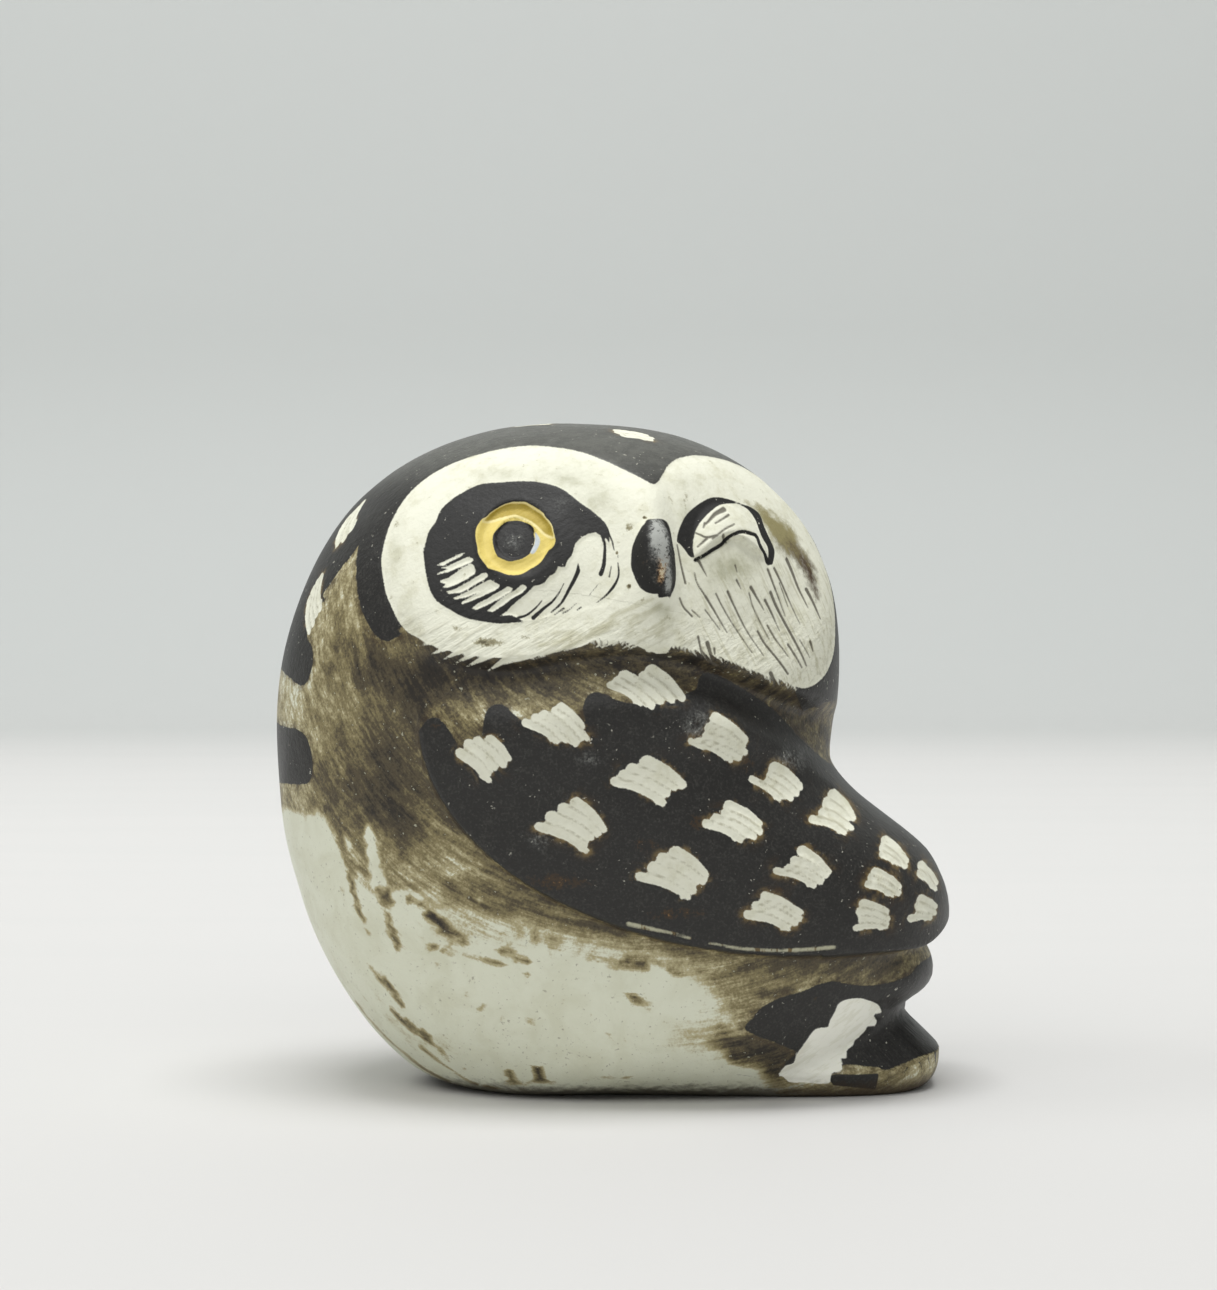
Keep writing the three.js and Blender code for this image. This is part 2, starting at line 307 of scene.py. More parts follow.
def egg(p, centre, radii, square=2.0, turn=0.0, slope=0.0, depth=None):
    """Distance to a rounded body, under 0 inside.

    turn is about Z, slope lowers its +X end, depth is its lower radius and square how boxy it is.
    """
    q = p - np.array(centre)
    if turn:
        c, s = np.cos(np.radians(turn)), np.sin(np.radians(turn))
        q = np.stack([q[:, 0] * c + q[:, 1] * s, -q[:, 0] * s + q[:, 1] * c, q[:, 2]], 1)
    if slope:
        c, s = np.cos(np.radians(slope)), np.sin(np.radians(slope))
        q = np.stack([q[:, 0] * c - q[:, 2] * s, q[:, 1], q[:, 0] * s + q[:, 2] * c], 1)
    reach = np.broadcast_to(np.array(radii, float), q.shape).copy()
    if depth is not None:
        reach[:, 2] = np.where(q[:, 2] < 0, depth, reach[:, 2])
    grown = np.maximum((np.abs(q / reach) ** square).sum(1) ** (1 / square), TINY)
    return np.linalg.norm(q, axis=1) * (1 - 1 / grown)


print("a 4 mm fillet fills up", -blend(0.0, 0.0, 4.0), "mm where two bodies cross")

# %% [markdown]
# The head sits turned over the near shoulder, so everything on the face is placed across a plane of its
# own: the face's middle plane, turned 19 degrees from the camera's side. The left disc is nearly flat to
# the side view and is laid out there, and the right one is laid out by its distance across that plane.

# %% The body
HEAD, HEAD_RADII, HEAD_SQUARE, FACE_TURN = (-4.4, 0.0, 51.5), (28.4, 25.5, 22.3), 2.2, 19
BREAST, BREAST_RADII, BREAST_SQUARE, BREAST_DEPTH = (-7.1, 0.0, 40.0), (31.0, 24.2, 30.0), 2.1, 43.5
FLANK, FLANK_RADII, FLANK_SQUARE, FLANK_DEPTH = (3.4, 0.0, 16.0), (29.8, 21.5, 16.0), 2.2, 20.5
BACK, BACK_RADII, BACK_SQUARE, BACK_DEPTH, BACK_SLOPE = (6.5, 0.0, 29.6), (28.0, 22.2, 10.2), 2.1, 20, 19
RUMP, RUMP_RADII, RUMP_DEPTH = (26.0, 0.0, 12.8), (9.6, 13.0, 7.2), 4.6
TAIL_AT, TAIL_RADII, TAIL_SQUARE = (14.0, 0.0), (22.3, 14.0), 2.8
TAIL_RIM, TAIL_RIM_RUN, TAIL_FALL, TAIL_TOP = (2.7, 4.2), (27.0, 36.5), 0.92, 11.0
BREAST_FILLET, FLANK_FILLET, BACK_FILLET, RUMP_FILLET, TAIL_FILLET, TAIL_LIP = 6.0, 3.0, 6.0, 1.2, 2.2, 2.0
CREASE = [54, 53, 51, 48.9, 48.3, 49.4, 49.9, 48.6, 46.4, 44.2, 42.8, 42, 41.6, 41.5]
CREASE_START, CREASE_STEP, CREASE_DEPTH = -75, 15, 1.9
CREASE_NEAR_END, CREASE_FAR_END, CREASE_TOP, CREASE_FOOT = (-48, -12), (96, 62), (-0.6, 1.3), (7.0, 1.3)


def across_face(p):
    """Distances across the face's middle plane, + to the closed eye, and in front of the neck's axis."""
    a = np.radians(FACE_TURN)
    x, y = p[:, 0] - HEAD[0], p[:, 1] - HEAD[1]
    return x * np.cos(a) + y * np.sin(a), x * np.sin(a) - y * np.cos(a)


def eased(pair, share):
    """From the first of a pair to the second."""
    return pair[0] + (pair[1] - pair[0]) * share


def clay_body(p):
    """The bare body: four eggs, a rump and the fan of the tail."""
    clay = egg(p, HEAD, HEAD_RADII, HEAD_SQUARE, turn=FACE_TURN)
    clay = blend(clay, egg(p, BREAST, BREAST_RADII, BREAST_SQUARE, depth=BREAST_DEPTH), BREAST_FILLET)
    clay = blend(clay, egg(p, FLANK, FLANK_RADII, FLANK_SQUARE, depth=FLANK_DEPTH), FLANK_FILLET)
    back = egg(p, BACK, BACK_RADII, BACK_SQUARE, slope=BACK_SLOPE, depth=BACK_DEPTH)
    clay = blend(clay, back, BACK_FILLET)
    clay = blend(clay, egg(p, RUMP, RUMP_RADII, depth=RUMP_DEPTH), RUMP_FILLET)
    grown = np.abs((p[:, :2] - TAIL_AT) / TAIL_RADII) ** TAIL_SQUARE
    grown = np.maximum(grown.sum(1) ** (1 / TAIL_SQUARE), TINY)
    skirt = np.linalg.norm(p[:, :2] - TAIL_AT, axis=1) * (1 - 1 / grown)
    rim = eased(TAIL_RIM, ease(*TAIL_RIM_RUN, p[:, 0]))
    skirt = skirt + np.maximum(p[:, 2] - rim, 0) * TAIL_FALL
    return blend(clay, trim(skirt, p[:, 2] - TAIL_TOP, TAIL_LIP), TAIL_FILLET)


def neck_crease(p):
    """Depth of the groove that a thumb drew under the face."""
    round_head = np.degrees(np.arctan2(p[:, 0] - HEAD[0], -p[:, 1]))
    drop = through(CREASE, (round_head - CREASE_START) / CREASE_STEP) - p[:, 2]
    ends = ease(*CREASE_NEAR_END, round_head) * ease(*CREASE_FAR_END, round_head)
    return CREASE_DEPTH * ends * ease(*CREASE_TOP, drop) * ease(*CREASE_FOOT, drop)


print("fillets:", BREAST_FILLET, FLANK_FILLET, BACK_FILLET, RUMP_FILLET, TAIL_FILLET, "mm")

# %% [markdown]
# The folded wing is a low step: a rounded edge in front and below, and a soft shoulder above that fades
# into the neck. It is the same on both sides, and deepens towards the tail, where the tips stand proud.

# %% The wings
WING_AT, WING_RADII = (22.0, 42.0), (43.2, 25.6)
WING_END, WING_TIP, WING_RISE = 16.2, 33.0, 0.12
WING_STEP, WING_STEP_RUN, WING_LIP = (1.2, 3.0), (18, 37), (0.4, -0.6)
SHOULDER, SHOULDER_BEND, SHOULDER_EASE, SHOULDER_FALL = 46.6, 9.0, 3, 0.70
SHOULDER_FADE, SHOULDER_FADE_RUN, SHOULDER_LIP = (10.4, 2.4), (-2, 12), 0.6


def wing_edge(p):
    """Distance outside the wing's front and lower edge, seen from the side."""
    x, z = p[:, 0], p[:, 2]
    q = np.stack([np.minimum(x - WING_AT[0], 0), z - WING_AT[1]], 1)
    grown = np.maximum(np.linalg.norm(q / WING_RADII, axis=1), TINY)
    front = np.linalg.norm(q, axis=1) * (1 - 1 / grown)
    return np.where(x > WING_AT[0], WING_END + WING_RISE * np.maximum(x - WING_TIP, 0) ** 2 - z, front)


def wing_step(p):
    """How far the folded wing stands out of the body."""
    x = p[:, 0]
    bend = np.log1p(np.exp((x - SHOULDER_BEND) / SHOULDER_EASE))
    above = p[:, 2] - SHOULDER + SHOULDER_FALL * SHOULDER_EASE * bend
    fade = eased(SHOULDER_FADE, ease(*SHOULDER_FADE_RUN, x))
    height = eased(WING_STEP, ease(*WING_STEP_RUN, x))
    return ease(*WING_LIP, wing_edge(p)) * ease(SHOULDER_LIP, -fade, above) * height


print("the wing stands out", WING_STEP[0], "mm in front and", WING_STEP[1], "mm at its tip")

# %% [markdown]
# The face has two shallow dishes with a brow ridge between them, a round eye sunk with a countersink,
# a closed eye under a domed lid, and a beak that stands out like a seed.

# %% The face and the whole form
LEFT_DISC, LEFT_DISC_RADII = (-10.2, 59.3), (14.6, 11.6)
RIGHT_DISC, RIGHT_DISC_RADII = (12.5, 58.3), (13.6, 12.2)
DISH_DEPTH, DISH_EDGE = 1.3, (1.02, 0.45)
BROW_AT, BROW_HALF, BROW_HEIGHT, BROW_FOOT, BROW_TOP = 0.8, 3.4, 0.9, (52, 56), (70, 65.5)
EYE, SOCKET_DEPTH, SOCKET_EDGE, PUPIL_DEPTH, PUPIL_EDGE = (-10.7, 61.3), 0.7, (4.25, 3.3), 0.3, (2.3, 2.0)
LID, LID_RADII, LID_HEIGHT, LID_DOME = (10.4, 58.8), (5.1, 6.3), 1.25, 0.6
LID_RIM, LID_RIM_AT, LID_RIM_HALF, LID_RIM_RISE = 59.0, 10.2, 5.5, 2.6
FACE_FADE = (2, 8)
BEAK, BEAK_RADII, BEAK_SQUARE, BEAK_FILLET = (3.55, -21.5, 58.5), (2.35, 3.9, 4.8), 2.3, 0.5
BASE_TURN, BASE_TURN_RUN, BASE_TRIM, BASE_CURL = (2.6, 4.2), (-12, 12), 0.3, 0.02
BASE_KEEL, BASE_ARCH_AT, BASE_ARCH_HALF, BASE_ARCH_RISE = 9.0, 5.0, 19.0, 2.8


def off_centre(a, b, centre, radii):
    """0 in the middle of an oval, 1 on its line."""
    return np.hypot((a - centre[0]) / radii[0], (b - centre[1]) / radii[1])


def face_relief(p):
    """How far the dishes, brow, eye and lid stand out of the head."""
    across, front = across_face(p)
    x, z = p[:, 0], p[:, 2]
    left = off_centre(x, z, LEFT_DISC, LEFT_DISC_RADII)
    right = off_centre(across, z, RIGHT_DISC, RIGHT_DISC_RADII)
    dish = -DISH_DEPTH * ease(*DISH_EDGE, np.where(across < 0, left, right))
    brow = BROW_HEIGHT * hump(across - BROW_AT, BROW_HALF) * ease(*BROW_FOOT, z) * ease(*BROW_TOP, z)
    from_eye = np.hypot(x - EYE[0], z - EYE[1])
    eye = -SOCKET_DEPTH * ease(*SOCKET_EDGE, from_eye) - PUPIL_DEPTH * ease(*PUPIL_EDGE, from_eye)
    lid = LID_HEIGHT * np.clip(1 - off_centre(across, z, LID, LID_RADII) ** 2, 0, 1) ** LID_DOME
    lid = lid * ease(-0.5, 0.5, z - LID_RIM - LID_RIM_RISE * hump(across - LID_RIM_AT, LID_RIM_HALF))
    return ease(*FACE_FADE, front) * (dish + brow + np.where(across < 0, eye, lid))


def beak_body(p):
    return egg(p, BEAK, BEAK_RADII, BEAK_SQUARE, turn=FACE_TURN)


def form(p):
    """Distance to the finished skin, under 0 in the clay."""
    clay = clay_body(p) - wing_step(p) + neck_crease(p) - face_relief(p)
    clay = blend(clay, beak_body(p), BEAK_FILLET)
    keel = BASE_KEEL - BASE_ARCH_RISE * hump(p[:, 0] - BASE_ARCH_AT, BASE_ARCH_HALF)
    lift = BASE_CURL * np.maximum(np.abs(p[:, 1]) - keel, 0) ** 2
    return trim(clay, lift - BASE_TRIM - p[:, 2], eased(BASE_TURN, ease(*BASE_TURN_RUN, p[:, 0])))


print("clay over the owl's middle:", -form(np.array([[0.0, 0.0, 40.0]])).round(1)[0], "mm")

# %% [markdown]
# Over the raw clay go a thin brown wash, a cream glaze, a black slip and scraped-out whites. On the real
# owl each is a brush stroke or a cut with a loop tool. Here each one is an outline or a stroke in
# millimetres, and what is kept for every point of the skin is how far inside it lies. A distance can be
# cut off sharply or softly later on, made ragged by noise, or read as a depth for the cut itself.
#
# Three flat layouts are enough: the side view (along, up), the right half of the face (across, up), and
# the breast and the far side (round, up), unrolled from the near side over the breast to the back.

# %% Outlines and strokes
FAR = -9.0
NO_LENGTH = 1e-9
ROUND_AXIS, ROUND_RADIUS = -7.0, 31.5


def smooth_line(points, closed=True, cuts=5):
    """Points of a round line through the given ones."""
    v = np.array(points, float)
    v = np.vstack([v[-1:], v, v[:2]]) if closed else np.vstack([2 * v[0] - v[1], v, 2 * v[-1] - v[-2]])
    t = np.linspace(0, 1, cuts, endpoint=False)[:, None]
    a, b, c, d = (v[i:len(v) - 3 + i][:, None] for i in range(4))
    line = b + 0.5 * t * (c - a + t * (2 * a - 5 * b + 4 * c - d + t * (3 * (b - c) + d - a)))
    line = line.reshape(-1, 2)
    return line if closed else np.vstack([line, v[-2]])


def inside(q, points, round_line=True):
    """How far each point of a layout lies inside a closed outline, in millimetres, negative outside."""
    line = smooth_line(points) if round_line else np.array(points, float)
    out = np.full(len(q), FAR)
    near = ((q > line.min(0) + FAR / 3) & (q < line.max(0) - FAR / 3)).all(1)
    a, b = line, np.roll(line, -1, 0)
    p = q[near][:, None]
    along = np.clip(((p - a) * (b - a)).sum(2) / np.maximum(((b - a) ** 2).sum(1), NO_LENGTH), 0, 1)
    gap = np.linalg.norm(p - a - along[..., None] * (b - a), axis=2).min(1)
    crosses = (a[:, 1] > p[..., 1]) != (b[:, 1] > p[..., 1])
    rise = np.where(a[:, 1] == b[:, 1], NO_LENGTH, (b - a)[:, 1])
    reach = a[:, 0] + (p[..., 1] - a[:, 1]) * (b - a)[:, 0] / rise
    odd = (crosses & (p[..., 0] < reach)).sum(1) % 2 == 1
    out[near] = np.where(odd, gap, -gap)
    return out


def stroke(q, points, width, tip=None):
    """How far inside a drawn line each point lies; width runs from the first point to tip at the last."""
    line = smooth_line(points, closed=False, cuts=4) if len(points) > 2 else np.array(points, float)
    run = np.concatenate([[0], np.cumsum(np.linalg.norm(np.diff(line, axis=0), axis=1))])
    run = run / run[-1]
    tip = width if tip is None else tip
    out = np.full(len(q), FAR)
    near = ((q > line.min(0) + FAR / 4) & (q < line.max(0) - FAR / 4)).all(1)
    p = q[near]
    best = np.full(len(p), FAR)
    for a, b, start, end in zip(line, line[1:], run, run[1:]):
        along = np.clip(((p - a) * (b - a)).sum(1) / max(((b - a) ** 2).sum(), NO_LENGTH), 0, 1)
        half = (width + (tip - width) * (start + (end - start) * along)) / 2
        best = np.maximum(best, half - np.linalg.norm(p - a - along[:, None] * (b - a), axis=1))
    out[near] = best
    return out


def layouts(p):
    """The side view, the face's right half and the unrolled breast of the points, all in millimetres."""
    across, front = across_face(p)
    turn = np.arctan2(ROUND_AXIS - p[:, 0], -p[:, 1]) % (2 * np.pi)
    side = p[:, [0, 2]]
    face = np.stack([across, p[:, 2]], 1)
    breast = np.stack([turn * ROUND_RADIUS, p[:, 2]], 1)
    return side, face, breast, across, front


def only(where, amount):
    return np.where(where, amount, FAR)


def strokes(q, rows, here):
    """How far inside the best of several lines; a row is its points, its width and its tip."""
    best = np.full(len(q), FAR)
    for points, *widths in rows:
        best = np.maximum(best, stroke(q, points, *widths))
    return only(here, best)


print("points of a round line through 8:", len(smooth_line([(i, i % 2) for i in range(8)])))

# %% [markdown]
# The wing was dipped in black slip with a scalloped upper rim, and each pale spot is two to five short
# pulls of a loop tool through the slip into the clay. They could be stamped from one shape, but hand
# cuts never match, so each pull is written down: where it starts, where it ends and how wide it is.

# %% The wing
SCALLOPS = [
    (-21.4, 39.0), (-21.1, 40.6), (-20.6, 41.6), (-19.7, 42.4), (-18.8, 42.3), (-17.9, 41.5), (-17.1, 40.2),
    (-16.4, 39.0), (-15.2, 39.0), (-14.3, 39.8), (-14.1, 41.6), (-13.8, 43.1), (-12.9, 43.9), (-11.9, 43.8),
    (-11.0, 43.1), (-9.9, 42.2), (-7.6, 40.8), (-4.6, 40.8), (-3.4, 42.0), (-3.6, 43.6), (-3.2, 44.7),
    (-2.4, 45.2), (-1.3, 45.0), (0.0, 44.4), (1.6, 44.0), (4.0, 44.3), (7.0, 44.8), (8.5, 45.4), (8.7, 46.4),
    (9.4, 47.0), (11.1, 46.6), (13.8, 45.0), (16.6, 43.1), (18.9, 40.8), (20.0, 39.5), (24.3, 35.8),
    (30.0, 33.0), (42.0, 30.0), (44.0, 10.0), (0.0, 8.0), (-24.0, 20.0)]
SPOTS = [
    [(-13.3, 40.2, -11.4, 38.2, 0.93), (-14.7, 40.0, -11.9, 37.5, 0.95), (-15.6, 39.7, -12.9, 37.2, 0.95),
     (-16.5, 38.7, -13.5, 35.9, 0.93)],
    [(-5.9, 43.6, -3.7, 41.7, 0.93), (-6.5, 43.3, -3.1, 40.3, 0.74), (-7.7, 42.8, -4.3, 39.8, 0.93),
     (-8.5, 42.5, -5.4, 40.2, 0.91), (-9.6, 42.0, -6.3, 40.0, 0.76)],
    [(3.7, 47.3, 6.9, 44.5, 1.19), (2.9, 46.7, 5.8, 44.3, 1.03), (0.8, 46.8, 4.6, 44.2, 1.08),
     (0.1, 46.3, 3.7, 43.7, 0.97), (-0.7, 45.9, 2.5, 43.9, 0.65)],
    [(3.1, 37.7, 6.9, 35.3, 1.3), (1.6, 37.0, 6.1, 35.1, 1.14), (0.7, 36.4, 5.3, 34.4, 1.03),
     (-0.2, 35.8, 4.9, 33.4, 0.86)],
    [(10.5, 42.2, 13.6, 39.8, 1.14), (9.9, 41.2, 13.4, 39.2, 1.08), (9.6, 40.3, 13.7, 38.5, 1.03),
     (8.7, 39.7, 13.0, 37.9, 0.97), (7.8, 39.9, 12.1, 37.6, 0.59)],
    [(17.0, 36.6, 19.7, 34.5, 1.19), (16.7, 35.8, 19.3, 33.9, 1.14), (16.3, 35.1, 18.7, 33.4, 1.03),
     (14.4, 35.6, 17.5, 33.3, 0.65)],
    [(11.9, 32.9, 15.1, 31.0, 1.03), (11.6, 32.1, 15.2, 30.2, 1.03), (10.5, 31.6, 14.5, 29.7, 1.03),
     (9.5, 31.2, 13.1, 29.3, 0.81)],
    [(23.6, 33.2, 25.7, 30.9, 1.14), (22.9, 32.5, 25.2, 30.9, 1.14), (22.3, 31.6, 25.4, 29.9, 0.92),
     (21.0, 31.1, 24.6, 29.5, 0.7)],
    [(-4.3, 33.5, -1.4, 30.7, 1.08), (-5.6, 32.8, -2.0, 30.3, 1.14), (-6.9, 32.0, -2.8, 29.9, 1.14),
     (-8.2, 31.0, -3.2, 28.4, 0.86)],
    [(6.2, 28.1, 9.3, 25.8, 1.24), (4.9, 27.4, 9.1, 25.1, 1.24), (3.9, 26.5, 8.0, 24.1, 1.24),
     (2.4, 25.6, 7.6, 23.3, 0.86)],
    [(19.8, 27.9, 22.6, 25.6, 1.03), (19.0, 26.9, 22.3, 25.3, 1.03), (18.4, 26.1, 21.8, 24.7, 1.03),
     (17.0, 26.0, 21.1, 24.2, 0.7)],
    [(15.7, 23.3, 19.7, 21.4, 0.81), (15.5, 22.6, 19.6, 20.7, 0.76), (14.8, 22.3, 19.1, 20.3, 0.86),
     (13.9, 21.4, 18.3, 19.7, 0.81)],
    [(29.3, 28.2, 31.6, 26.1, 0.97), (29.0, 27.6, 31.4, 25.6, 0.92), (28.8, 27.0, 30.6, 25.9, 0.65)],
    [(27.9, 25.3, 30.6, 23.6, 0.86), (27.5, 24.7, 30.5, 22.9, 0.92), (27.0, 24.1, 29.8, 22.7, 0.65)],
    [(26.5, 22.0, 29.1, 21.0, 0.92), (26.2, 21.2, 29.2, 20.2, 0.92), (26.4, 20.4, 29.1, 19.7, 0.86),
     (25.7, 19.5, 29.0, 19.3, 0.65)], [(33.4, 25.3, 35.3, 23.2, 0.81), (33.2, 24.6, 35.1, 22.7, 0.76)],
    [(33.2, 21.9, 35.0, 20.8, 0.86), (32.9, 21.3, 34.9, 20.1, 0.86), (32.0, 20.0, 34.4, 19.7, 0.76)]]
CUT_DEPTH = 0.16
PULL_STAGGER, PULL_OVERLAP, PULL_BOW = 0.3, 1.3, 0.06
FAR_WING_SIZE, FAR_WING_SHIFT, WING_BARE = (0.985, 1.0), (0.6, -0.4), 0.15


def fan(first, last, count, draw):
    """Rows for a spot that is only told by its first and its last pull; the rest are set evenly between."""
    (a, b), (c, d) = np.array(first), np.array(last)
    pitch = np.linalg.norm((c + d - a - b) / 2) / count
    run = (b - a + d - c) / np.linalg.norm(b - a + d - c)
    rows = []
    for share in (np.arange(count) + 0.5) / count:
        early, late = draw.uniform(-PULL_STAGGER, PULL_STAGGER, 2) + PULL_STAGGER * np.sin(np.pi * share)
        start, end = a + share * (c - a) - run * early, b + share * (d - b) + run * late
        rows.append((*start, *end, pitch * PULL_OVERLAP))
    return rows


def bowed(start, end):
    """A pull from start to end with the slight bow of a wrist."""
    rise = np.array([start[1] - end[1], end[0] - start[0]]) * PULL_BOW
    return [start, (start + end) / 2 + rise, end]


def pulls(q, rows):
    """A spot of tool pulls: how far inside it points lie, how deep the tool went, and the ridges between."""
    table = np.array(rows)
    best = inside(q, np.vstack([table[:, :2], table[::-1, 2:4]]), round_line=False)
    depth, ridge = np.zeros(len(q)), np.full(len(q), FAR)
    for x, z, to_x, to_z, width in rows:
        start, end = np.array((x, z)), np.array((to_x, to_z))
        run = (end - start) / np.linalg.norm(end - start)
        one = stroke(q, bowed(start, end), width * 1.25, width * 0.8)
        tooth = 0.24 + 0.2 * np.sin(9 * x + 5 * z)
        one = np.maximum(one, stroke(q, [end - run * 0.6, end + run * tooth], width * 1.1, 0.05))
        best = np.maximum(best, one)
        depth = np.maximum(depth, ease(-0.02, width * 0.5, one))
    foot = table[-1, :2]
    run = (table[-1, 2:4] - foot) / np.linalg.norm(table[-1, 2:4] - foot)
    best = np.maximum(best, stroke(q, [foot + run * 0.6, foot - run * 0.4], table[-1, 4], 0.05))
    for middle in (table[1:, :4] + table[:-1, :4]) / 2:
        ridge = np.maximum(ridge, stroke(q, bowed(middle[:2], middle[2:]), 0.2, 0.1))
    return best, depth, ridge


def wing_paint(p, side):
    """Black slip on the wings, and the spots cut through it; the far wing's are set a little further back."""
    near = p[:, 1] < 0
    ink = np.minimum(-wing_edge(p) - WING_BARE, only(near | (p[:, 0] > 10), inside(side, SCALLOPS)))
    bare, depth, ridge = np.full(len(p), FAR), np.zeros(len(p)), np.full(len(p), FAR)
    moved = np.where(near[:, None], side, side * FAR_WING_SIZE - FAR_WING_SHIFT)
    for rows in SPOTS:
        spot, cut, left = pulls(moved, rows)
        bare, depth, ridge = np.maximum(bare, spot), np.maximum(depth, cut), np.maximum(ridge, left)
    return ink, only(np.abs(p[:, 1]) > 2, bare), depth * CUT_DEPTH, ridge


print("spots:", len(SPOTS), "pulls:", sum(len(rows) for rows in SPOTS))

# %% [markdown]
# The face is the sharpest drawing on the piece: a white mask round both eyes, a black patch with a yellow
# ring, quick white pulls like eyelashes, and on the other side a lid drawn shut. Everything left of the
# middle plane is laid out in the side view and everything right of it across the face.

# %% The white mask and the open eye
MASK_LEFT = [
    (6.0, 66.2), (3.8, 67.1), (2.5, 67.8), (0.9, 68.6), (-1.2, 69.6), (-3.9, 70.6), (-6.7, 71.1),
    (-9.4, 71.3), (-12.1, 71.0), (-14.8, 70.4), (-17.5, 69.5), (-19.7, 68.4), (-21.8, 66.8), (-23.4, 64.8),
    (-24.6, 62.2), (-25.2, 59.2), (-24.8, 56.2), (-24.0, 54.1), (-22.6, 51.8), (-20.6, 50.6), (-18.4, 49.7),
    (-16.4, 49.3), (-14.0, 48.9), (-10.1, 48.8), (-8.0, 49.2), (-5.9, 49.7), (-3.8, 50.0), (-1.7, 50.9),
    (0.9, 50.5), (6.0, 50.2)]
MASK_RIGHT = [
    (-1.0, 66.4), (2.1, 67.1), (3.5, 68.0), (4.8, 69.1), (6.6, 69.9), (9.2, 70.3), (12.1, 70.1), (15.1, 69.5),
    (18.7, 68.3), (22.0, 66.3), (24.4, 63.4), (25.6, 60.0), (26.0, 56.4), (25.8, 52.6), (24.9, 48.9),
    (23.2, 46.6), (21.3, 45.5), (19.3, 45.0), (17.7, 45.2), (16.5, 45.7), (14.6, 46.3), (12.6, 46.9),
    (10.6, 47.6), (8.8, 48.4), (6.9, 48.9), (5.1, 49.4), (2.8, 50.0), (1.1, 50.4), (-1.0, 50.4)]
PATCH = [
    (-20.6, 59.7), (-20.5, 60.3), (-20.1, 62.0), (-19.4, 63.0), (-18.9, 64.2), (-17.9, 65.3), (-16.2, 66.4),
    (-14.6, 67.1), (-12.5, 67.3), (-10.3, 67.4), (-8.2, 67.3), (-5.9, 66.6), (-3.9, 65.1), (-2.6, 64.2),
    (-1.2, 62.9), (-0.8, 61.6), (-1.0, 59.6), (-1.9, 56.7), (-4.2, 55.4), (-5.9, 54.3), (-6.9, 53.6),
    (-7.4, 53.0), (-8.6, 52.8), (-9.8, 52.6), (-10.9, 52.5), (-12.3, 52.4), (-14.1, 52.6), (-16.0, 53.0),
    (-17.6, 53.8), (-19.1, 54.8), (-20.0, 56.4)]
LASHES = [
    [(-19.2, 58.5), (-18.1, 59.0), (-16.4, 59.8), (-16.1, 59.8), (-16.6, 59.4), (-17.8, 58.8), (-18.5, 58.4)],
    [(-18.6, 58.2), (-17.9, 58.4), (-16.9, 58.9), (-15.7, 59.4), (-15.3, 59.2), (-15.2, 59.0), (-15.4, 58.8),
     (-16.6, 58.3), (-17.8, 57.8), (-19.0, 57.5), (-19.1, 57.6), (-17.9, 58.1)],
    [(-18.7, 56.9), (-18.0, 57.1), (-17.1, 57.7), (-16.2, 58.3), (-15.4, 58.7), (-15.1, 58.4), (-14.9, 57.9),
     (-15.0, 57.6), (-15.8, 57.1), (-16.7, 56.6), (-17.6, 56.2), (-18.5, 56.1), (-18.1, 56.5), (-18.7, 56.7)],
    [(-18.0, 55.7), (-17.1, 56.0), (-16.0, 56.6), (-15.0, 57.2), (-14.2, 57.7), (-13.7, 57.7), (-13.6, 57.4),
     (-14.0, 57.0), (-15.0, 56.5), (-15.7, 56.0), (-16.5, 55.6), (-17.8, 55.5)],
    [(-17.3, 55.0), (-16.5, 55.4), (-15.5, 55.9), (-14.4, 56.5), (-13.4, 57.0), (-12.8, 56.7), (-12.3, 56.4),
     (-12.5, 56.1), (-13.2, 55.7), (-14.1, 55.3), (-15.2, 54.8), (-16.3, 54.4), (-16.5, 54.6), (-15.7, 55.0),
     (-14.7, 55.6), (-16.0, 55.1), (-17.1, 54.9)],
    [(-15.3, 54.0), (-14.7, 54.5), (-13.7, 55.0), (-12.5, 55.7), (-11.5, 56.3), (-11.0, 56.1), (-11.1, 55.8),
     (-11.9, 55.3), (-12.8, 54.8), (-13.9, 54.2), (-14.9, 53.8)],
    [(-13.7, 53.7), (-12.8, 54.5), (-11.8, 55.3), (-10.7, 55.9), (-10.0, 56.5), (-9.6, 56.4), (-9.5, 56.1),
     (-10.0, 55.6), (-11.1, 55.0), (-12.0, 54.3), (-13.1, 53.6)]]
CHEEK = [
    (-12.3, 53.2), (-11.6, 53.7), (-10.7, 54.6), (-9.5, 55.6), (-8.8, 56.3), (-7.7, 56.6), (-7.1, 57.4),
    (-6.5, 57.7), (-6.2, 58.4), (-5.5, 58.3), (-5.2, 59.1), (-4.8, 59.5), (-4.4, 60.8), (-3.7, 61.5),
    (-3.1, 61.8), (-2.3, 62.0), (-1.7, 61.6), (-1.5, 60.9), (-1.2, 61.4), (-0.8, 60.8), (-0.3, 59.8),
    (0.4, 59.2), (1.2, 57.9), (0.9, 55.9), (-0.9, 54.2), (-3.6, 53.7), (-5.9, 53.2), (-6.9, 53.2),
    (-7.7, 52.9), (-8.8, 52.7), (-9.8, 52.6), (-10.3, 52.9), (-10.9, 53.2), (-11.3, 53.3)]
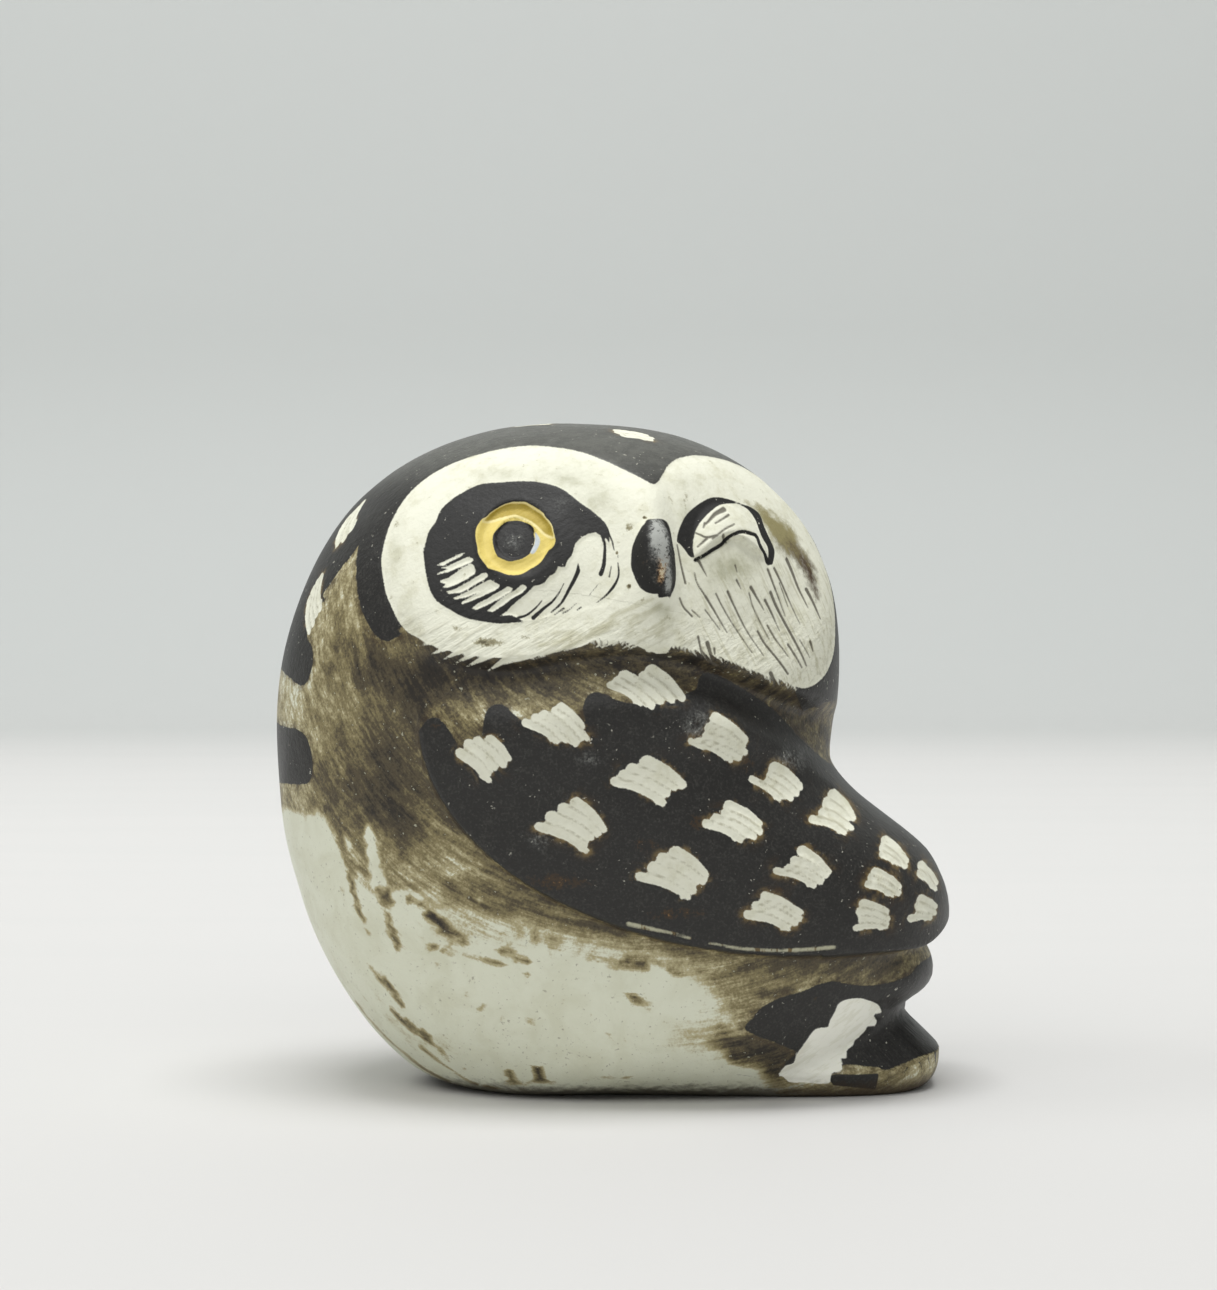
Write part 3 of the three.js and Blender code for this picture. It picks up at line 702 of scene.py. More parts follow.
CHEEK_LINES = [
    ([(-1.6, 61.7), (-1.3, 60.8), (-1.3, 59.6), (-1.4, 58.5), (-1.7, 57.6)], 0.22, 0.5),
    ([(-1.1, 62.4), (-0.8, 61.7), (-0.5, 61.0), (-0.3, 60.1)], 0.28, 0.13),
    ([(0.1, 58.8), (0.2, 57.7), (0.0, 56.9), (-0.4, 56.2)], 0.13, 0.32),
    ([(-0.4, 56.2), (-1.1, 55.4), (-2.1, 54.6)], 0.32, 0.11), ([(-0.6, 58.4), (-0.8, 57.3)], 0.11, 0.17),
    ([(-4.1, 58.7), (-4.1, 57.9)], 0.11, 0.48),
    ([(-4.1, 57.9), (-4.5, 57.0), (-5.2, 55.7), (-5.9, 54.5), (-6.9, 53.6)], 0.48, 0.19),
    ([(-5.6, 56.6), (-6.0, 55.8), (-6.8, 54.7), (-7.7, 54.0), (-8.8, 53.0)], 0.1, 0.45),
    ([(-7.9, 54.8), (-8.6, 54.0), (-9.5, 53.3), (-10.4, 53.0)], 0.14, 0.32),
    ([(-5.6, 54.0), (-6.6, 53.3)], 0.22, 0.13), ([(-4.3, 54.5), (-5.1, 53.8), (-5.7, 53.5)], 0.09, 0.19),
    ([(-3.8, 54.1), (-4.2, 53.8)], 0.19, 0.13), ([(-1.9, 56.6), (-2.4, 56.0), (-2.9, 55.4)], 0.06, 0.1),
    ([(0.1, 59.6), (0.1, 59.3)], 0.09, 0.09), ([(-6.2, 55.3), (-5.8, 56.1)], 0.09, 0.09)]
IRIS = [
    (-15.0, 62.0), (-14.9, 62.5), (-14.6, 63.0), (-14.3, 63.4), (-13.9, 63.6), (-13.4, 64.1), (-12.8, 64.5),
    (-12.1, 64.9), (-11.5, 65.1), (-11.0, 65.2), (-10.4, 65.2), (-9.8, 65.2), (-9.2, 64.9), (-8.5, 64.5),
    (-7.8, 64.0), (-7.6, 63.6), (-7.1, 63.1), (-6.8, 62.5), (-6.7, 62.0), (-6.6, 61.6), (-6.5, 61.2),
    (-6.6, 60.7), (-6.9, 60.3), (-7.2, 60.1), (-7.6, 59.5), (-8.0, 58.9), (-8.6, 58.4), (-9.2, 58.1),
    (-9.8, 57.7), (-10.5, 57.5), (-11.3, 57.5), (-11.8, 57.6), (-12.3, 57.8), (-12.9, 58.0), (-13.6, 58.2),
    (-13.9, 58.6), (-14.4, 59.2), (-14.7, 59.8), (-14.8, 60.5), (-15.0, 61.4)]
PUPIL = [
    (-8.8, 61.7), (-8.8, 62.3), (-9.1, 62.7), (-9.7, 63.0), (-10.4, 63.2), (-11.0, 63.2), (-11.7, 63.1),
    (-12.3, 62.7), (-12.8, 62.2), (-13.1, 61.8), (-13.2, 61.2), (-13.1, 60.5), (-12.9, 59.9), (-12.6, 59.4),
    (-12.0, 59.1), (-11.4, 58.9), (-10.7, 59.0), (-10.0, 59.2), (-9.5, 59.5), (-9.1, 59.9), (-8.8, 60.7),
    (-8.7, 61.3)]
# the upper wall of the eye's countersink, painted darker gold as painted shade
BAND = [
    (-14.1, 63.2), (-13.5, 63.2), (-12.6, 63.4), (-11.9, 63.6), (-11.0, 63.8), (-10.2, 63.6), (-9.3, 63.2),
    (-8.4, 62.6), (-7.7, 61.9), (-7.1, 61.6), (-6.7, 61.6), (-6.9, 62.5), (-7.3, 63.1), (-7.7, 63.5),
    (-8.0, 63.9), (-8.7, 64.3), (-9.3, 64.7), (-9.9, 65.0), (-10.6, 65.0), (-11.4, 65.0), (-12.1, 64.8),
    (-13.0, 64.3), (-13.6, 63.8)]
GLINT = [
    (-8.7, 62.0), (-8.3, 61.6), (-8.1, 61.0), (-8.4, 60.2), (-8.8, 59.7), (-9.2, 59.8), (-8.8, 60.7),
    (-8.7, 61.4)]
PUPIL_RIM = [
    (-8.8, 61.8), (-8.8, 60.6), (-9.2, 59.7), (-9.9, 59.1), (-11.0, 58.9), (-11.9, 59.2), (-12.6, 59.8),
    (-13.0, 60.6)]
NOTCH = [(-6.9, 62.3), (-6.8, 61.6)]
CHIN_LINES = [
    ([(-6.5, 51.3), (-4.2, 51.6), (-2.4, 51.7), (-1.1, 52.4), (-0.2, 53.3), (1.8, 54.1),
      (3.7, 55.0)], 0.37, 0.22),
    ([(-5.4, 49.8), (-2.8, 51.1), (-1.7, 51.5), (0.1, 52.4), (1.9, 53.2), (3.4, 53.6),
      (4.6, 54.2)], 0.32, 0.39),
    ([(0.1, 51.2), (1.1, 52.0), (2.5, 52.6), (3.4, 53.4), (4.6, 54.1)], 0.15, 0.32),
    ([(1.1, 51.0), (3.2, 52.0), (4.6, 52.7)], 0.22, 0.17),
    ([(2.2, 50.7), (4.1, 51.9), (5.1, 52.6)], 0.19, 0.17),
    ([(-8.0, 50.2), (-5.9, 50.7), (-3.8, 51.1)], 0.32, 0.22), ([(4.1, 51.1), (4.5, 51.4)], 0.22, 0.22),
    ([(-7.5, 49.1), (-4.9, 49.8), (-3.3, 50.6)], 0.22, 0.13)]
CHIN_PULLS = [
    ([(-16.5, 50.6), (-19.6, 49.1)], 1.30, 0.08), ([(-15.0, 50.3), (-18.3, 48.6)], 1.16, 0.08),
    ([(-13.6, 50.1), (-17.0, 48.2)], 1.16, 0.08), ([(-12.5, 49.6), (-15.9, 47.8)], 1.09, 0.08),
    ([(-10.9, 49.2), (-13.7, 47.3)], 1.01, 0.08), ([(-8.8, 49.4), (-12.0, 48.1)], 1.16, 0.08),
    ([(-6.4, 50.0), (-9.8, 48.7)], 1.16, 0.08), ([(-18.0, 51.0), (-21.0, 50.0)], 1.16, 0.08),
    ([(-3.4, 51.0), (-6.2, 49.5)], 1.16, 0.08)]
CHIN_EDGE = ([-10, -6, -2, 3], [48.7, 49.6, 50.7, 50.3])
CHIN_TEETH = np.arange(-9.0, 3.0, 0.7)


def face_left(p, side, across, front):
    """Mask, patch, lashes and eye of the open side."""
    here = (front > 4) & (across < 3)
    teeth = []
    for at in CHIN_TEETH:
        foot, reach = np.interp(at, *CHIN_EDGE), 0.5 + 0.5 * np.sin(7 * at)
        tip = (at - 1.1 - 0.8 * reach, foot - 0.3 - 0.5 * reach)
        teeth.append(([(at + 1.3, foot + 1.0), tip], 0.8, 0.06))
    mask = np.maximum(only(here, inside(side, MASK_LEFT)), strokes(side, CHIN_PULLS + teeth, here))
    patch = only(here, inside(side, PATCH))
    lash = np.full(len(p), FAR)
    for outline in LASHES:
        lash = np.maximum(lash, inside(side, outline, round_line=False))
    bare = only(here, np.maximum(lash, inside(side, CHEEK, round_line=False)))
    lines = strokes(side, [(PUPIL_RIM, 0.26, 0.12), (NOTCH, 0.2), *CHEEK_LINES], here)
    soft = strokes(side, CHIN_LINES, front > 8)
    ring = only(here, np.minimum(inside(side, IRIS), -inside(side, PUPIL)))
    band = only(here, inside(side, BAND))
    glint = only(here, inside(side, GLINT))
    return mask, patch, bare, lines, soft, ring, band, glint


print("lashes:", len(LASHES), "chin pulls:", len(CHIN_PULLS), "cheek lines:", len(CHEEK_LINES))

# %% [markdown]
# The closed eye: a white lid under a thick black arc, its rim a bent dark line, an olive and brown shadow
# at the outer side, and below it fine dark hairs that the tool left standing across the disc.

# %% The closed eye
ARC = [
    (5.5, 59.3), (5.0, 59.4), (4.5, 60.1), (4.0, 60.7), (3.6, 61.0), (4.1, 62.2), (5.4, 63.8), (7.2, 64.9),
    (9.0, 65.6), (10.5, 65.7), (12.1, 65.4), (13.4, 65.0), (14.8, 64.6), (15.8, 63.8), (15.9, 62.6),
    (16.2, 61.4), (16.6, 60.1), (16.4, 59.3), (15.8, 58.4), (15.0, 58.6), (14.8, 59.3), (15.2, 59.1),
    (15.5, 59.5), (15.6, 60.3), (15.1, 61.3), (14.9, 62.2), (14.8, 63.2), (14.2, 64.3), (13.3, 64.8),
    (12.7, 65.0), (11.2, 65.0), (9.9, 64.8), (8.6, 64.2), (7.4, 63.4), (6.4, 62.4), (5.7, 61.0), (5.5, 59.9)]
SHUT = [
    (5.7, 59.0), (6.7, 59.4), (8.1, 60.1), (9.2, 60.6), (10.0, 61.2), (10.9, 61.8), (12.0, 62.0),
    (13.1, 61.8), (14.0, 61.5), (14.2, 60.5), (14.8, 59.5), (15.4, 58.5)]
SHUT_WIDTH = 0.42
SHADE = [
    (14.4, 65.0), (15.9, 64.7), (17.3, 64.2), (19.2, 63.2), (20.6, 62.3), (21.2, 61.0), (21.8, 59.5),
    (22.6, 58.4), (22.8, 56.8), (22.5, 54.8), (21.7, 55.5), (21.2, 56.8), (20.2, 58.3), (19.4, 59.1),
    (17.7, 59.9), (17.0, 60.5), (16.2, 61.8), (15.9, 62.9), (15.6, 64.0)]
HAIRS = [
    ([(5.4, 57.6), (5.6, 56.5), (6.5, 55.1)], 0.13, 0.27),
    ([(6.5, 55.1), (7.5, 53.5), (8.4, 52.0)], 0.27, 0.14),
    ([(3.6, 60.6), (3.8, 58.5), (4.0, 57.2)], 0.16, 0.31),
    ([(3.1, 55.0), (3.5, 54.1), (4.2, 53.4)], 0.2, 0.27), ([(4.6, 53.7), (5.2, 53.2)], 0.14, 0.14),
    ([(6.3, 53.7), (7.4, 52.3)], 0.14, 0.13),
    ([(7.8, 55.4), (8.4, 54.2), (9.5, 52.4), (11.0, 50.2)], 0.16, 0.14),
    ([(9.3, 55.6), (9.7, 54.7), (10.5, 53.1)], 0.27, 0.18),
    ([(10.5, 53.1), (11.6, 51.1), (12.7, 49.5)], 0.18, 0.14), ([(10.6, 56.8), (10.9, 56.2)], 0.24, 0.13),
    ([(10.6, 58.4), (10.7, 57.9)], 0.18, 0.11), ([(12.4, 56.0), (12.9, 55.2), (13.6, 54.1)], 0.36, 0.13),
    ([(12.1, 55.4), (12.5, 53.9), (13.7, 51.6)], 0.14, 0.16),
    ([(12.9, 51.3), (13.6, 50.0), (14.8, 48.6), (15.9, 47.3)], 0.24, 0.31),
    ([(14.2, 54.6), (15.0, 53.2), (15.6, 51.9)], 0.31, 0.14),
    ([(15.1, 55.4), (15.6, 54.2), (16.6, 52.4)], 0.38, 0.33),
    ([(16.6, 52.4), (17.7, 50.4), (18.8, 48.4)], 0.33, 0.24),
    ([(14.3, 51.9), (15.1, 50.5), (16.1, 49.2)], 0.2, 0.17), ([(16.8, 49.8), (18.0, 48.1)], 0.24, 0.22),
    ([(15.1, 57.9), (15.6, 56.4), (16.5, 54.0)], 0.27, 0.14),
    ([(16.1, 58.0), (16.9, 56.4), (17.6, 54.9), (18.5, 52.9)], 0.27, 0.11),
    ([(18.4, 58.9), (19.0, 57.4), (19.5, 55.9), (20.2, 54.4)], 0.44, 0.16),
    ([(20.8, 55.6), (21.4, 54.5), (22.0, 53.1)], 0.44, 0.18), ([(5.1, 50.9), (5.3, 49.5)], 0.24, 0.22),
    ([(6.2, 50.2), (6.5, 48.9)], 0.49, 0.38), ([(7.0, 49.6), (7.0, 49.2)], 0.24, 0.18),
    ([(5.4, 49.4), (6.0, 48.6), (6.9, 48.1)], 0.22, 0.38), ([(14.0, 46.8), (14.5, 45.9)], 0.49, 0.38),
    ([(18.6, 50.2), (19.5, 48.9)], 0.14, 0.11), ([(20.2, 50.0), (20.4, 49.3)], 0.29, 0.22),
    ([(16.6, 56.4), (17.2, 54.7)], 0.14, 0.11), ([(10.4, 64.4), (9.0, 63.9), (8.0, 63.2)], 0.52, 0.26),
    ([(10.7, 63.8), (9.3, 63.2)], 0.23, 0.19), ([(7.4, 62.9), (7.2, 62.6)], 0.26, 0.19),
    ([(11.0, 62.8), (9.6, 62.3), (8.4, 61.6)], 0.16, 0.26),
    ([(8.4, 61.6), (7.2, 61.4), (6.5, 61.7)], 0.26, 0.23), ([(7.2, 61.3), (6.4, 60.7)], 0.26, 0.19),
    ([(9.3, 61.6), (9.7, 61.1)], 0.35, 0.23), ([(6.1, 58.9), (6.6, 57.8)], 0.36, 0.11)]
RIGHT_CHIN_EDGE = ([0, 5, 9, 13, 17.5], [50.3, 49.3, 48.2, 46.7, 45.3])
RIGHT_CHIN_TEETH = np.arange(0.6, 17.5, 0.62)


def face_right(face, front, draw):
    """Mask, arc, lid rim, shadow and hairs of the shut side."""
    here = (front > 0.5) & (face[:, 0] > -1.5)
    teeth = []
    for at in RIGHT_CHIN_TEETH:
        foot = np.interp(at, *RIGHT_CHIN_EDGE)
        tip = (at + 0.45, foot - draw.uniform(0.25, 0.75))
        teeth.append(([(at - 0.9, foot + 1.2), tip], 0.7, 0.06))
    mask = np.maximum(only(here, inside(face, MASK_RIGHT)), strokes(face, teeth, here))
    arc = only(here, inside(face, ARC))
    rim = only(here, stroke(face, SHUT, SHUT_WIDTH))
    shade = only(here, inside(face, SHADE))
    drawn_out = []
    for points, width, tip in HAIRS:
        before, last = np.array(points[-2]), np.array(points[-1])
        drawn_out.append(([*points, tuple(last + 0.5 * (last - before))], width + 0.02, tip * 0.8))
    return mask, arc, rim, shade, strokes(face, drawn_out, here)


print("hairs:", len(HAIRS))

# %% [markdown]
# The cap runs from the brow over the crown to the far side, with a tongue beside each cheek. Past the
# breast it ends in two black bars with pale gaps. What the photograph doesn't show goes on in the same
# way, with fewer marks: the far side is black down to the wing's edge, with a brown band at the nape.

# %% Cap and far side
CAP = [
    (-22.3, 52.2), (-22.7, 51.4), (-23.4, 50.8), (-24.4, 50.4), (-25.4, 50.7), (-26.4, 51.8), (-27.3, 53.6),
    (-27.9, 55.7), (-28.1, 58.0), (-28.1, 60.0), (-27.8, 61.0), (-28.6, 59.8), (-29.6, 58.5), (-30.7, 56.9),
    (-31.9, 55.4), (-33.0, 54.0), (-46.0, 54.0), (-46.0, 82.0), (46.0, 82.0), (46.0, 41.0), (24.4, 43.2),
    (23.2, 41.9), (21.8, 41.5), (20.5, 42.3), (19.4, 44.4), (18.6, 46.0), (12.0, 52.0), (-10.0, 56.0)]
BARS = [
    (30.8, 60.9), (32.5, 58.7), (33.9, 56.9), (35.4, 55.3), (37.5, 52.8), (36.9, 50.4), (35.4, 49.6),
    (34.6, 48.4), (34.6, 46.9), (35.6, 45.5), (37.4, 45.2), (41.0, 46.0), (47.0, 46.6), (53.0, 46.2),
    (56.0, 44.6), (55.0, 42.4), (49.0, 41.0), (42.0, 40.5), (37.4, 40.4), (35.3, 39.6), (34.2, 37.8),
    (34.2, 35.9), (35.2, 34.6), (38.0, 34.3), (46.0, 33.9), (55.0, 33.2), (63.0, 31.0), (72.0, 29.6),
    (84.0, 29.0), (100.0, 40.0), (126.0, 82.0), (20.0, 82.0)]
NAPE = [
    (112.0, 47.4), (128.0, 45.8), (140.0, 43.4), (148.4, 42.4), (160.0, 42.0), (162.0, 32.4), (148.4, 33.0),
    (144.0, 35.2), (136.0, 39.6), (126.0, 44.2)]
CROWN_SPOTS = [
    ((0.2, -6.8), (3.0, -6.6), (1.6, -9.4), (3.8, -9.2), 3),
    ((-11.0, 0.5), (-8.2, 0.0), (-10.6, -2.6), (-8.0, -2.8), 3),
    ((-6.0, 8.6), (-2.0, 7.6), (-5.6, 5.0), (-1.8, 4.0), 4),
    ((7.0, 5.6), (11.0, 4.6), (7.4, 2.0), (11.2, 1.0), 4)]
BREAST_SPOTS = [
    ((37.8, 56.9), (35.2, 54.2), (39.8, 54.0), (37.2, 50.9), 4),
    ((39.8, 64.9), (35.8, 62.8), (41.6, 62.6), (38.4, 60.2), 3),
    ((58.0, 58.4), (54.0, 55.0), (61.5, 56.6), (57.4, 53.2), 5),
    ((76.0, 60.0), (72.0, 56.4), (79.4, 58.2), (75.4, 54.8), 5),
    ((68.0, 48.4), (64.0, 45.0), (71.5, 46.6), (67.4, 43.2), 5),
    ((94.0, 56.4), (90.0, 53.0), (97.4, 54.8), (93.4, 51.2), 5),
    ((112.0, 61.4), (108.0, 58.0), (115.4, 59.8), (111.4, 56.2), 5),
    ((88.0, 66.4), (84.0, 63.4), (91.4, 65.0), (87.4, 61.8), 4),
    ((130.0, 58.0), (126.0, 54.6), (133.4, 56.4), (129.4, 53.0), 5),
    ((104.0, 69.0), (100.0, 66.0), (107.0, 67.6), (103.0, 64.6), 4),
    ((78.0, 42.0), (74.0, 38.6), (81.4, 40.4), (77.4, 37.0), 5)]
NAPE_START, FAR_CAP_FOOT = 105, 47.0


def cap_paint(p, side, breast, draw):
    """Cap, bars and far side: the black, the spots in it and how deep they are cut."""
    near = p[:, 1] < 0
    cap = only(near, inside(side, CAP))
    bars = only((p[:, 0] < 0) | ~near, inside(breast, BARS))
    over = (p[:, 0] > -21) & ~near
    far_side = only(over, np.minimum(-wing_edge(p) - WING_BARE, p[:, 1]))
    crown = only(~near, np.minimum(p[:, 2] - FAR_CAP_FOOT, p[:, 1] + 0.6))
    ink = np.maximum(np.maximum(cap, bars), np.maximum(far_side, crown))
    ink = np.where(breast[:, 0] > NAPE_START, np.minimum(ink, -inside(breast, NAPE)), ink)
    bare, depth, ridge = np.full(len(p), FAR), np.zeros(len(p)), np.full(len(p), FAR)
    on_crown = (p[:, 2] > 66) & (p[:, 1] > -14)
    for q, spots, here in ((p[:, :2], CROWN_SPOTS, on_crown), (breast, BREAST_SPOTS, p[:, 2] < 68)):
        for a, b, c, d, count in spots:
            spot, cut, left = pulls(q, fan((a, b), (c, d), count, draw))
            bare, ridge = np.maximum(bare, only(here, spot)), np.maximum(ridge, only(here, left))
            depth = np.maximum(depth, np.where(here, cut, 0))
    return ink, bare, depth * CUT_DEPTH, ridge


print("spots added at a guess:", len(CROWN_SPOTS) + len(BREAST_SPOTS))

# %% [markdown]
# Under the black lies the brown wash. It was sponged on and wiped back, so it stays in every hollow and on
# the breast, lies thicker just below the wing's edge, and only torn streaks of it are left on the belly.
# Where it is thick it reads dark brown, where it is thin olive. One number from 0 to 1 says how much was
# left, and noise in the finish tears its edge. Part of the thickness is painted light: painted shade in the
# band under the wing towards the tail and just under the chin, and a painted highlight where the wash thins
# along the neck's lip. Where it is taken off in strokes on the breast and along the wing's lower edge, those
# are painted highlights too.

# %% Wash and streaks
WASH_LOW = [
    (-35.9, 31.4), (-34.1, 30.7), (-32.4, 31.6), (-31.0, 29.7), (-29.4, 26.2), (-27.2, 23.4), (-23.2, 23.6),
    (-20.0, 22.8), (-15.6, 21.4), (-6.0, 18.8), (0.4, 17.4), (6.0, 16.0), (9.5, 13.6), (12.0, 10.0),
    (15.0, 5.0), (22.0, -4.0), (46.0, -4.0), (46.0, 80.0), (-46.0, 80.0), (-46.0, 31.6)]
STREAKS = [
    ([(-29.2, 25.6), (-28.7, 23.8), (-28.1, 21.8)], 0.43, 0.97, 0.8),
    ([(-28.1, 21.8), (-27.6, 20.2), (-26.9, 18.6)], 0.76, 0.22, 0.9),
    ([(-25.9, 23.7), (-25.0, 21.8), (-24.4, 19.6), (-23.6, 17.1)], 0.97, 0.97, 0.8),
    ([(-24.8, 22.7), (-24.4, 21.9)], 0.86, 0.86, 0.9),
    ([(-22.4, 22.8), (-20.5, 21.5), (-18.9, 20.3), (-17.3, 19.1), (-16.1, 18.1)], 0.65, 0.76, 0.95),
    ([(-20.6, 21.4), (-19.3, 20.5), (-18.3, 19.6)], 0.97, 0.86, 1.25),
    ([(-21.6, 22.3), (-19.9, 22.3), (-19.1, 21.8)], 0.43, 0.54, 0.8),
    ([(-20.6, 18.6), (-18.4, 18.3), (-16.2, 18.1), (-13.5, 17.8), (-12.1, 17.3)], 0.22, 0.22, 0.8),
    ([(-12.7, 17.1), (-11.2, 16.8), (-9.4, 16.2)], 0.76, 0.76, 0.8),
    ([(-11.8, 17.3), (-11.5, 16.9)], 0.54, 0.54, 1.1), ([(-10.1, 16.6), (-9.7, 16.3)], 0.54, 0.54, 1.2),
    ([(-11.5, 22.4), (-9.2, 22.3), (-7.1, 21.4), (-5.2, 20.5)], 0.65, 0.65, 0.85),
    ([(-9.2, 22.0), (-7.3, 21.4), (-5.8, 20.6)], 0.32, 0.43, 1.15),
    ([(-5.2, 20.5), (-2.8, 20.0), (-0.2, 19.4), (2.5, 18.9)], 0.32, 0.17, 1.0),
    ([(-0.5, 20.3), (1.0, 20.1), (2.7, 19.7)], 0.54, 0.76, 1.0),
    ([(-4.2, 17.7), (-2.8, 17.4), (-1.4, 16.9)], 0.22, 0.22, 0.9),
    ([(-3.8, 16.4), (-2.6, 15.7), (-0.7, 15.6), (1.2, 16.2), (3.0, 15.9)], 0.22, 0.32, 0.9),
    ([(-3.0, 17.0), (-1.8, 16.5), (-0.5, 16.4)], 0.43, 0.22, 0.6),
    ([(0.9, 16.3), (1.9, 16.0), (3.0, 15.6)], 0.54, 0.65, 1.1),
    ([(1.2, 12.8), (2.1, 12.5), (3.0, 12.4)], 0.65, 0.86, 1.15),
    ([(1.4, 11.7), (2.5, 11.2), (3.6, 10.8)], 0.22, 0.65, 0.7),
    ([(-27.0, 15.0), (-26.1, 13.8), (-25.1, 12.8)], 0.22, 0.86, 0.85),
    ([(-25.1, 12.8), (-24.3, 11.9), (-23.5, 10.7)], 0.76, 0.65, 0.95),
    ([(-24.8, 10.0), (-23.6, 8.7), (-22.3, 7.8), (-20.9, 6.9)], 0.54, 1.08, 0.95),
    ([(-21.0, 7.1), (-20.4, 6.4)], 0.54, 0.43, 1.3),
    ([(-20.3, 5.9), (-19.0, 5.1), (-17.6, 4.2), (-16.4, 3.2)], 0.26, 0.15, 0.95),
    ([(-21.5, 5.4), (-19.8, 4.0), (-18.1, 2.8), (-16.5, 1.7), (-14.8, 1.1), (-13.2, 0.9)], 0.24, 0.37, 1.05),
    ([(-29.2, 12.0), (-27.7, 10.5), (-26.1, 8.8)], 0.17, 0.13, 0.7),
    ([(-30.4, 11.6), (-28.6, 9.6), (-25.7, 7.3), (-23.6, 5.4)], 0.15, 0.15, 0.55),
    ([(-23.3, 6.0), (-22.1, 5.2), (-21.1, 4.3)], 0.32, 0.22, 0.5),
    ([(-30.1, 23.6), (-29.8, 23.0), (-29.6, 22.2)], 0.11, 0.22, 0.7),
    ([(-15.9, 23.9), (-15.6, 23.8)], 0.54, 0.54, 1.25), ([(-17.1, 23.2), (-16.0, 23.1)], 0.22, 0.11, 0.9),
    ([(-14.5, 22.8), (-13.5, 22.7)], 0.32, 0.11, 1.0), ([(-11.2, 11.2), (-10.3, 11.1)], 0.11, 0.22, 0.3),
    ([(-14.7, 10.8), (-14.0, 10.7)], 0.28, 0.17, 0.9),
    ([(-14.8, 21.0), (-13.3, 20.9), (-11.9, 21.6)], 0.32, 0.22, 0.6),
    ([(-11.4, 3.5), (-11.2, 2.3)], 0.97, 0.97, 0.8), ([(-8.8, 3.8), (-8.5, 2.5)], 1.08, 0.97, 1.2),
    ([(-12.7, 1.5), (-9.4, 2.0), (-5.0, 2.7), (-0.7, 2.9), (2.5, 3.1)], 0.54, 0.32, 0.55),
    ([(12.7, 12.3), (15.6, 12.4), (19.0, 12.9)], 0.7, 0.9, 1.0), ([(8.9, 15.4), (6.4, 16.0)], 0.8, 0.4, 0.85),
    ([(14.8, 14.3), (15.0, 14.2)], 0.5, 0.5, 1.0), ([(4.8, 15.7), (6.2, 15.1), (8.9, 14.9)], 0.5, 0.5, 0.9),
    ([(-30.4, 47.0), (-29.8, 52.0)], 1.6, 1.2, 0.6),
    ([(-12.0, 19.5), (-6.0, 18.4), (0.0, 17.2), (7.0, 15.6)], 0.5, 0.25, 0.8),
    ([(-9.0, 17.8), (-3.0, 16.8), (2.0, 15.4), (8.0, 14.2)], 0.35, 0.2, 0.7),
    ([(-18.0, 22.6), (-13.0, 21.6), (-8.0, 21.0)], 0.6, 0.3, 0.8),
    ([(-20.0, 17.6), (-14.0, 16.2), (-9.0, 14.6)], 0.45, 0.4, 0.8),
    ([(-29.0, 9.6), (-26.0, 6.2), (-22.0, 2.8), (-18.5, 1.0)], 0.3, 0.6, 0.8)]
# strokes where the wash is taken off on the breast and along the wing's lower edge: painted highlights
PAINTED_GLEAMS = [
    ([(-26.7, 29.8), (-26.3, 27.8), (-26.0, 25.9), (-25.5, 24.4)], 0.97, 1.73),
    ([(-29.1, 28.7), (-28.9, 28.1)], 0.76, 0.86), ([(-15.2, 23.0), (-14.6, 23.0)], 0.43, 0.43),
    ([(-27.9, 24.6), (-27.4, 23.0), (-26.6, 20.9)], 0.54, 0.97),
    ([(-23.3, 21.9), (-22.2, 19.8), (-21.1, 18.4)], 0.54, 1.3),
    ([(-0.4, 20.6), (3.0, 20.0), (7.6, 19.2)], 0.5, 0.35)]
SPECKS = [
    (-2.7, 10.6), (-2.1, 9.7), (-1.6, 8.6), (-1.0, 8.0), (-0.5, 7.2), (0.1, 6.9), (0.4, 7.2), (0.8, 7.6),
    (-12.5, 9.8), (-10.4, 6.6), (-9.5, 6.4), (-18.5, 4.1), (-16.3, 12.3), (-13.9, 9.7), (-9.3, 9.3),
    (-6.0, 11.8), (-19.3, 15.7)]
WORN = [
    ([(1.2, 20.5), (3.9, 19.9), (6.2, 19.4), (7.8, 18.9)], 0.38, 0.12),
    ([(9.8, 18.4), (12.8, 17.8), (15.5, 17.5), (18.2, 17.4), (20.9, 17.4), (23.3, 17.5)], 0.14, 0.28)]
# a dark line just under the worn strip of the wing's lower edge: a painted shadow of the wing's overhang
WING_EDGE_SHADOW = [
    ([(2.7, 19.8), (4.8, 19.2), (7.3, 18.6)], 0.28, 0.12),
    ([(11.7, 17.5), (16.4, 17.0), (20.0, 17.0), (24.0, 17.2)], 0.14, 0.24)]
BLOTCH = [
    (9.8, 9.4), (11.1, 9.7), (12.2, 9.2), (12.2, 8.4), (13.3, 8.2), (14.7, 8.3), (15.6, 7.5), (18.4, 6.6),
    (19.5, 5.7), (19.4, 4.7), (18.1, 4.0), (17.6, 2.9), (15.9, 3.0), (15.9, 3.9), (14.4, 4.0), (12.8, 4.3),
    (11.9, 5.3), (11.1, 6.3), (9.9, 6.9), (10.4, 7.9)]
WASH_SOFT, WASH_SOFT_RUN, OPEN_WASH, WING_WASH = (0.35, 1.6), (-25, -17), 0.86, 2.5
FRINGE_FOOT, FRINGE_FALL, FRINGE_RUN, TAIL_START = 31.0, 4.5, (1, 18), 16
POOL, STREAK_POOL = 0.5, 0.75
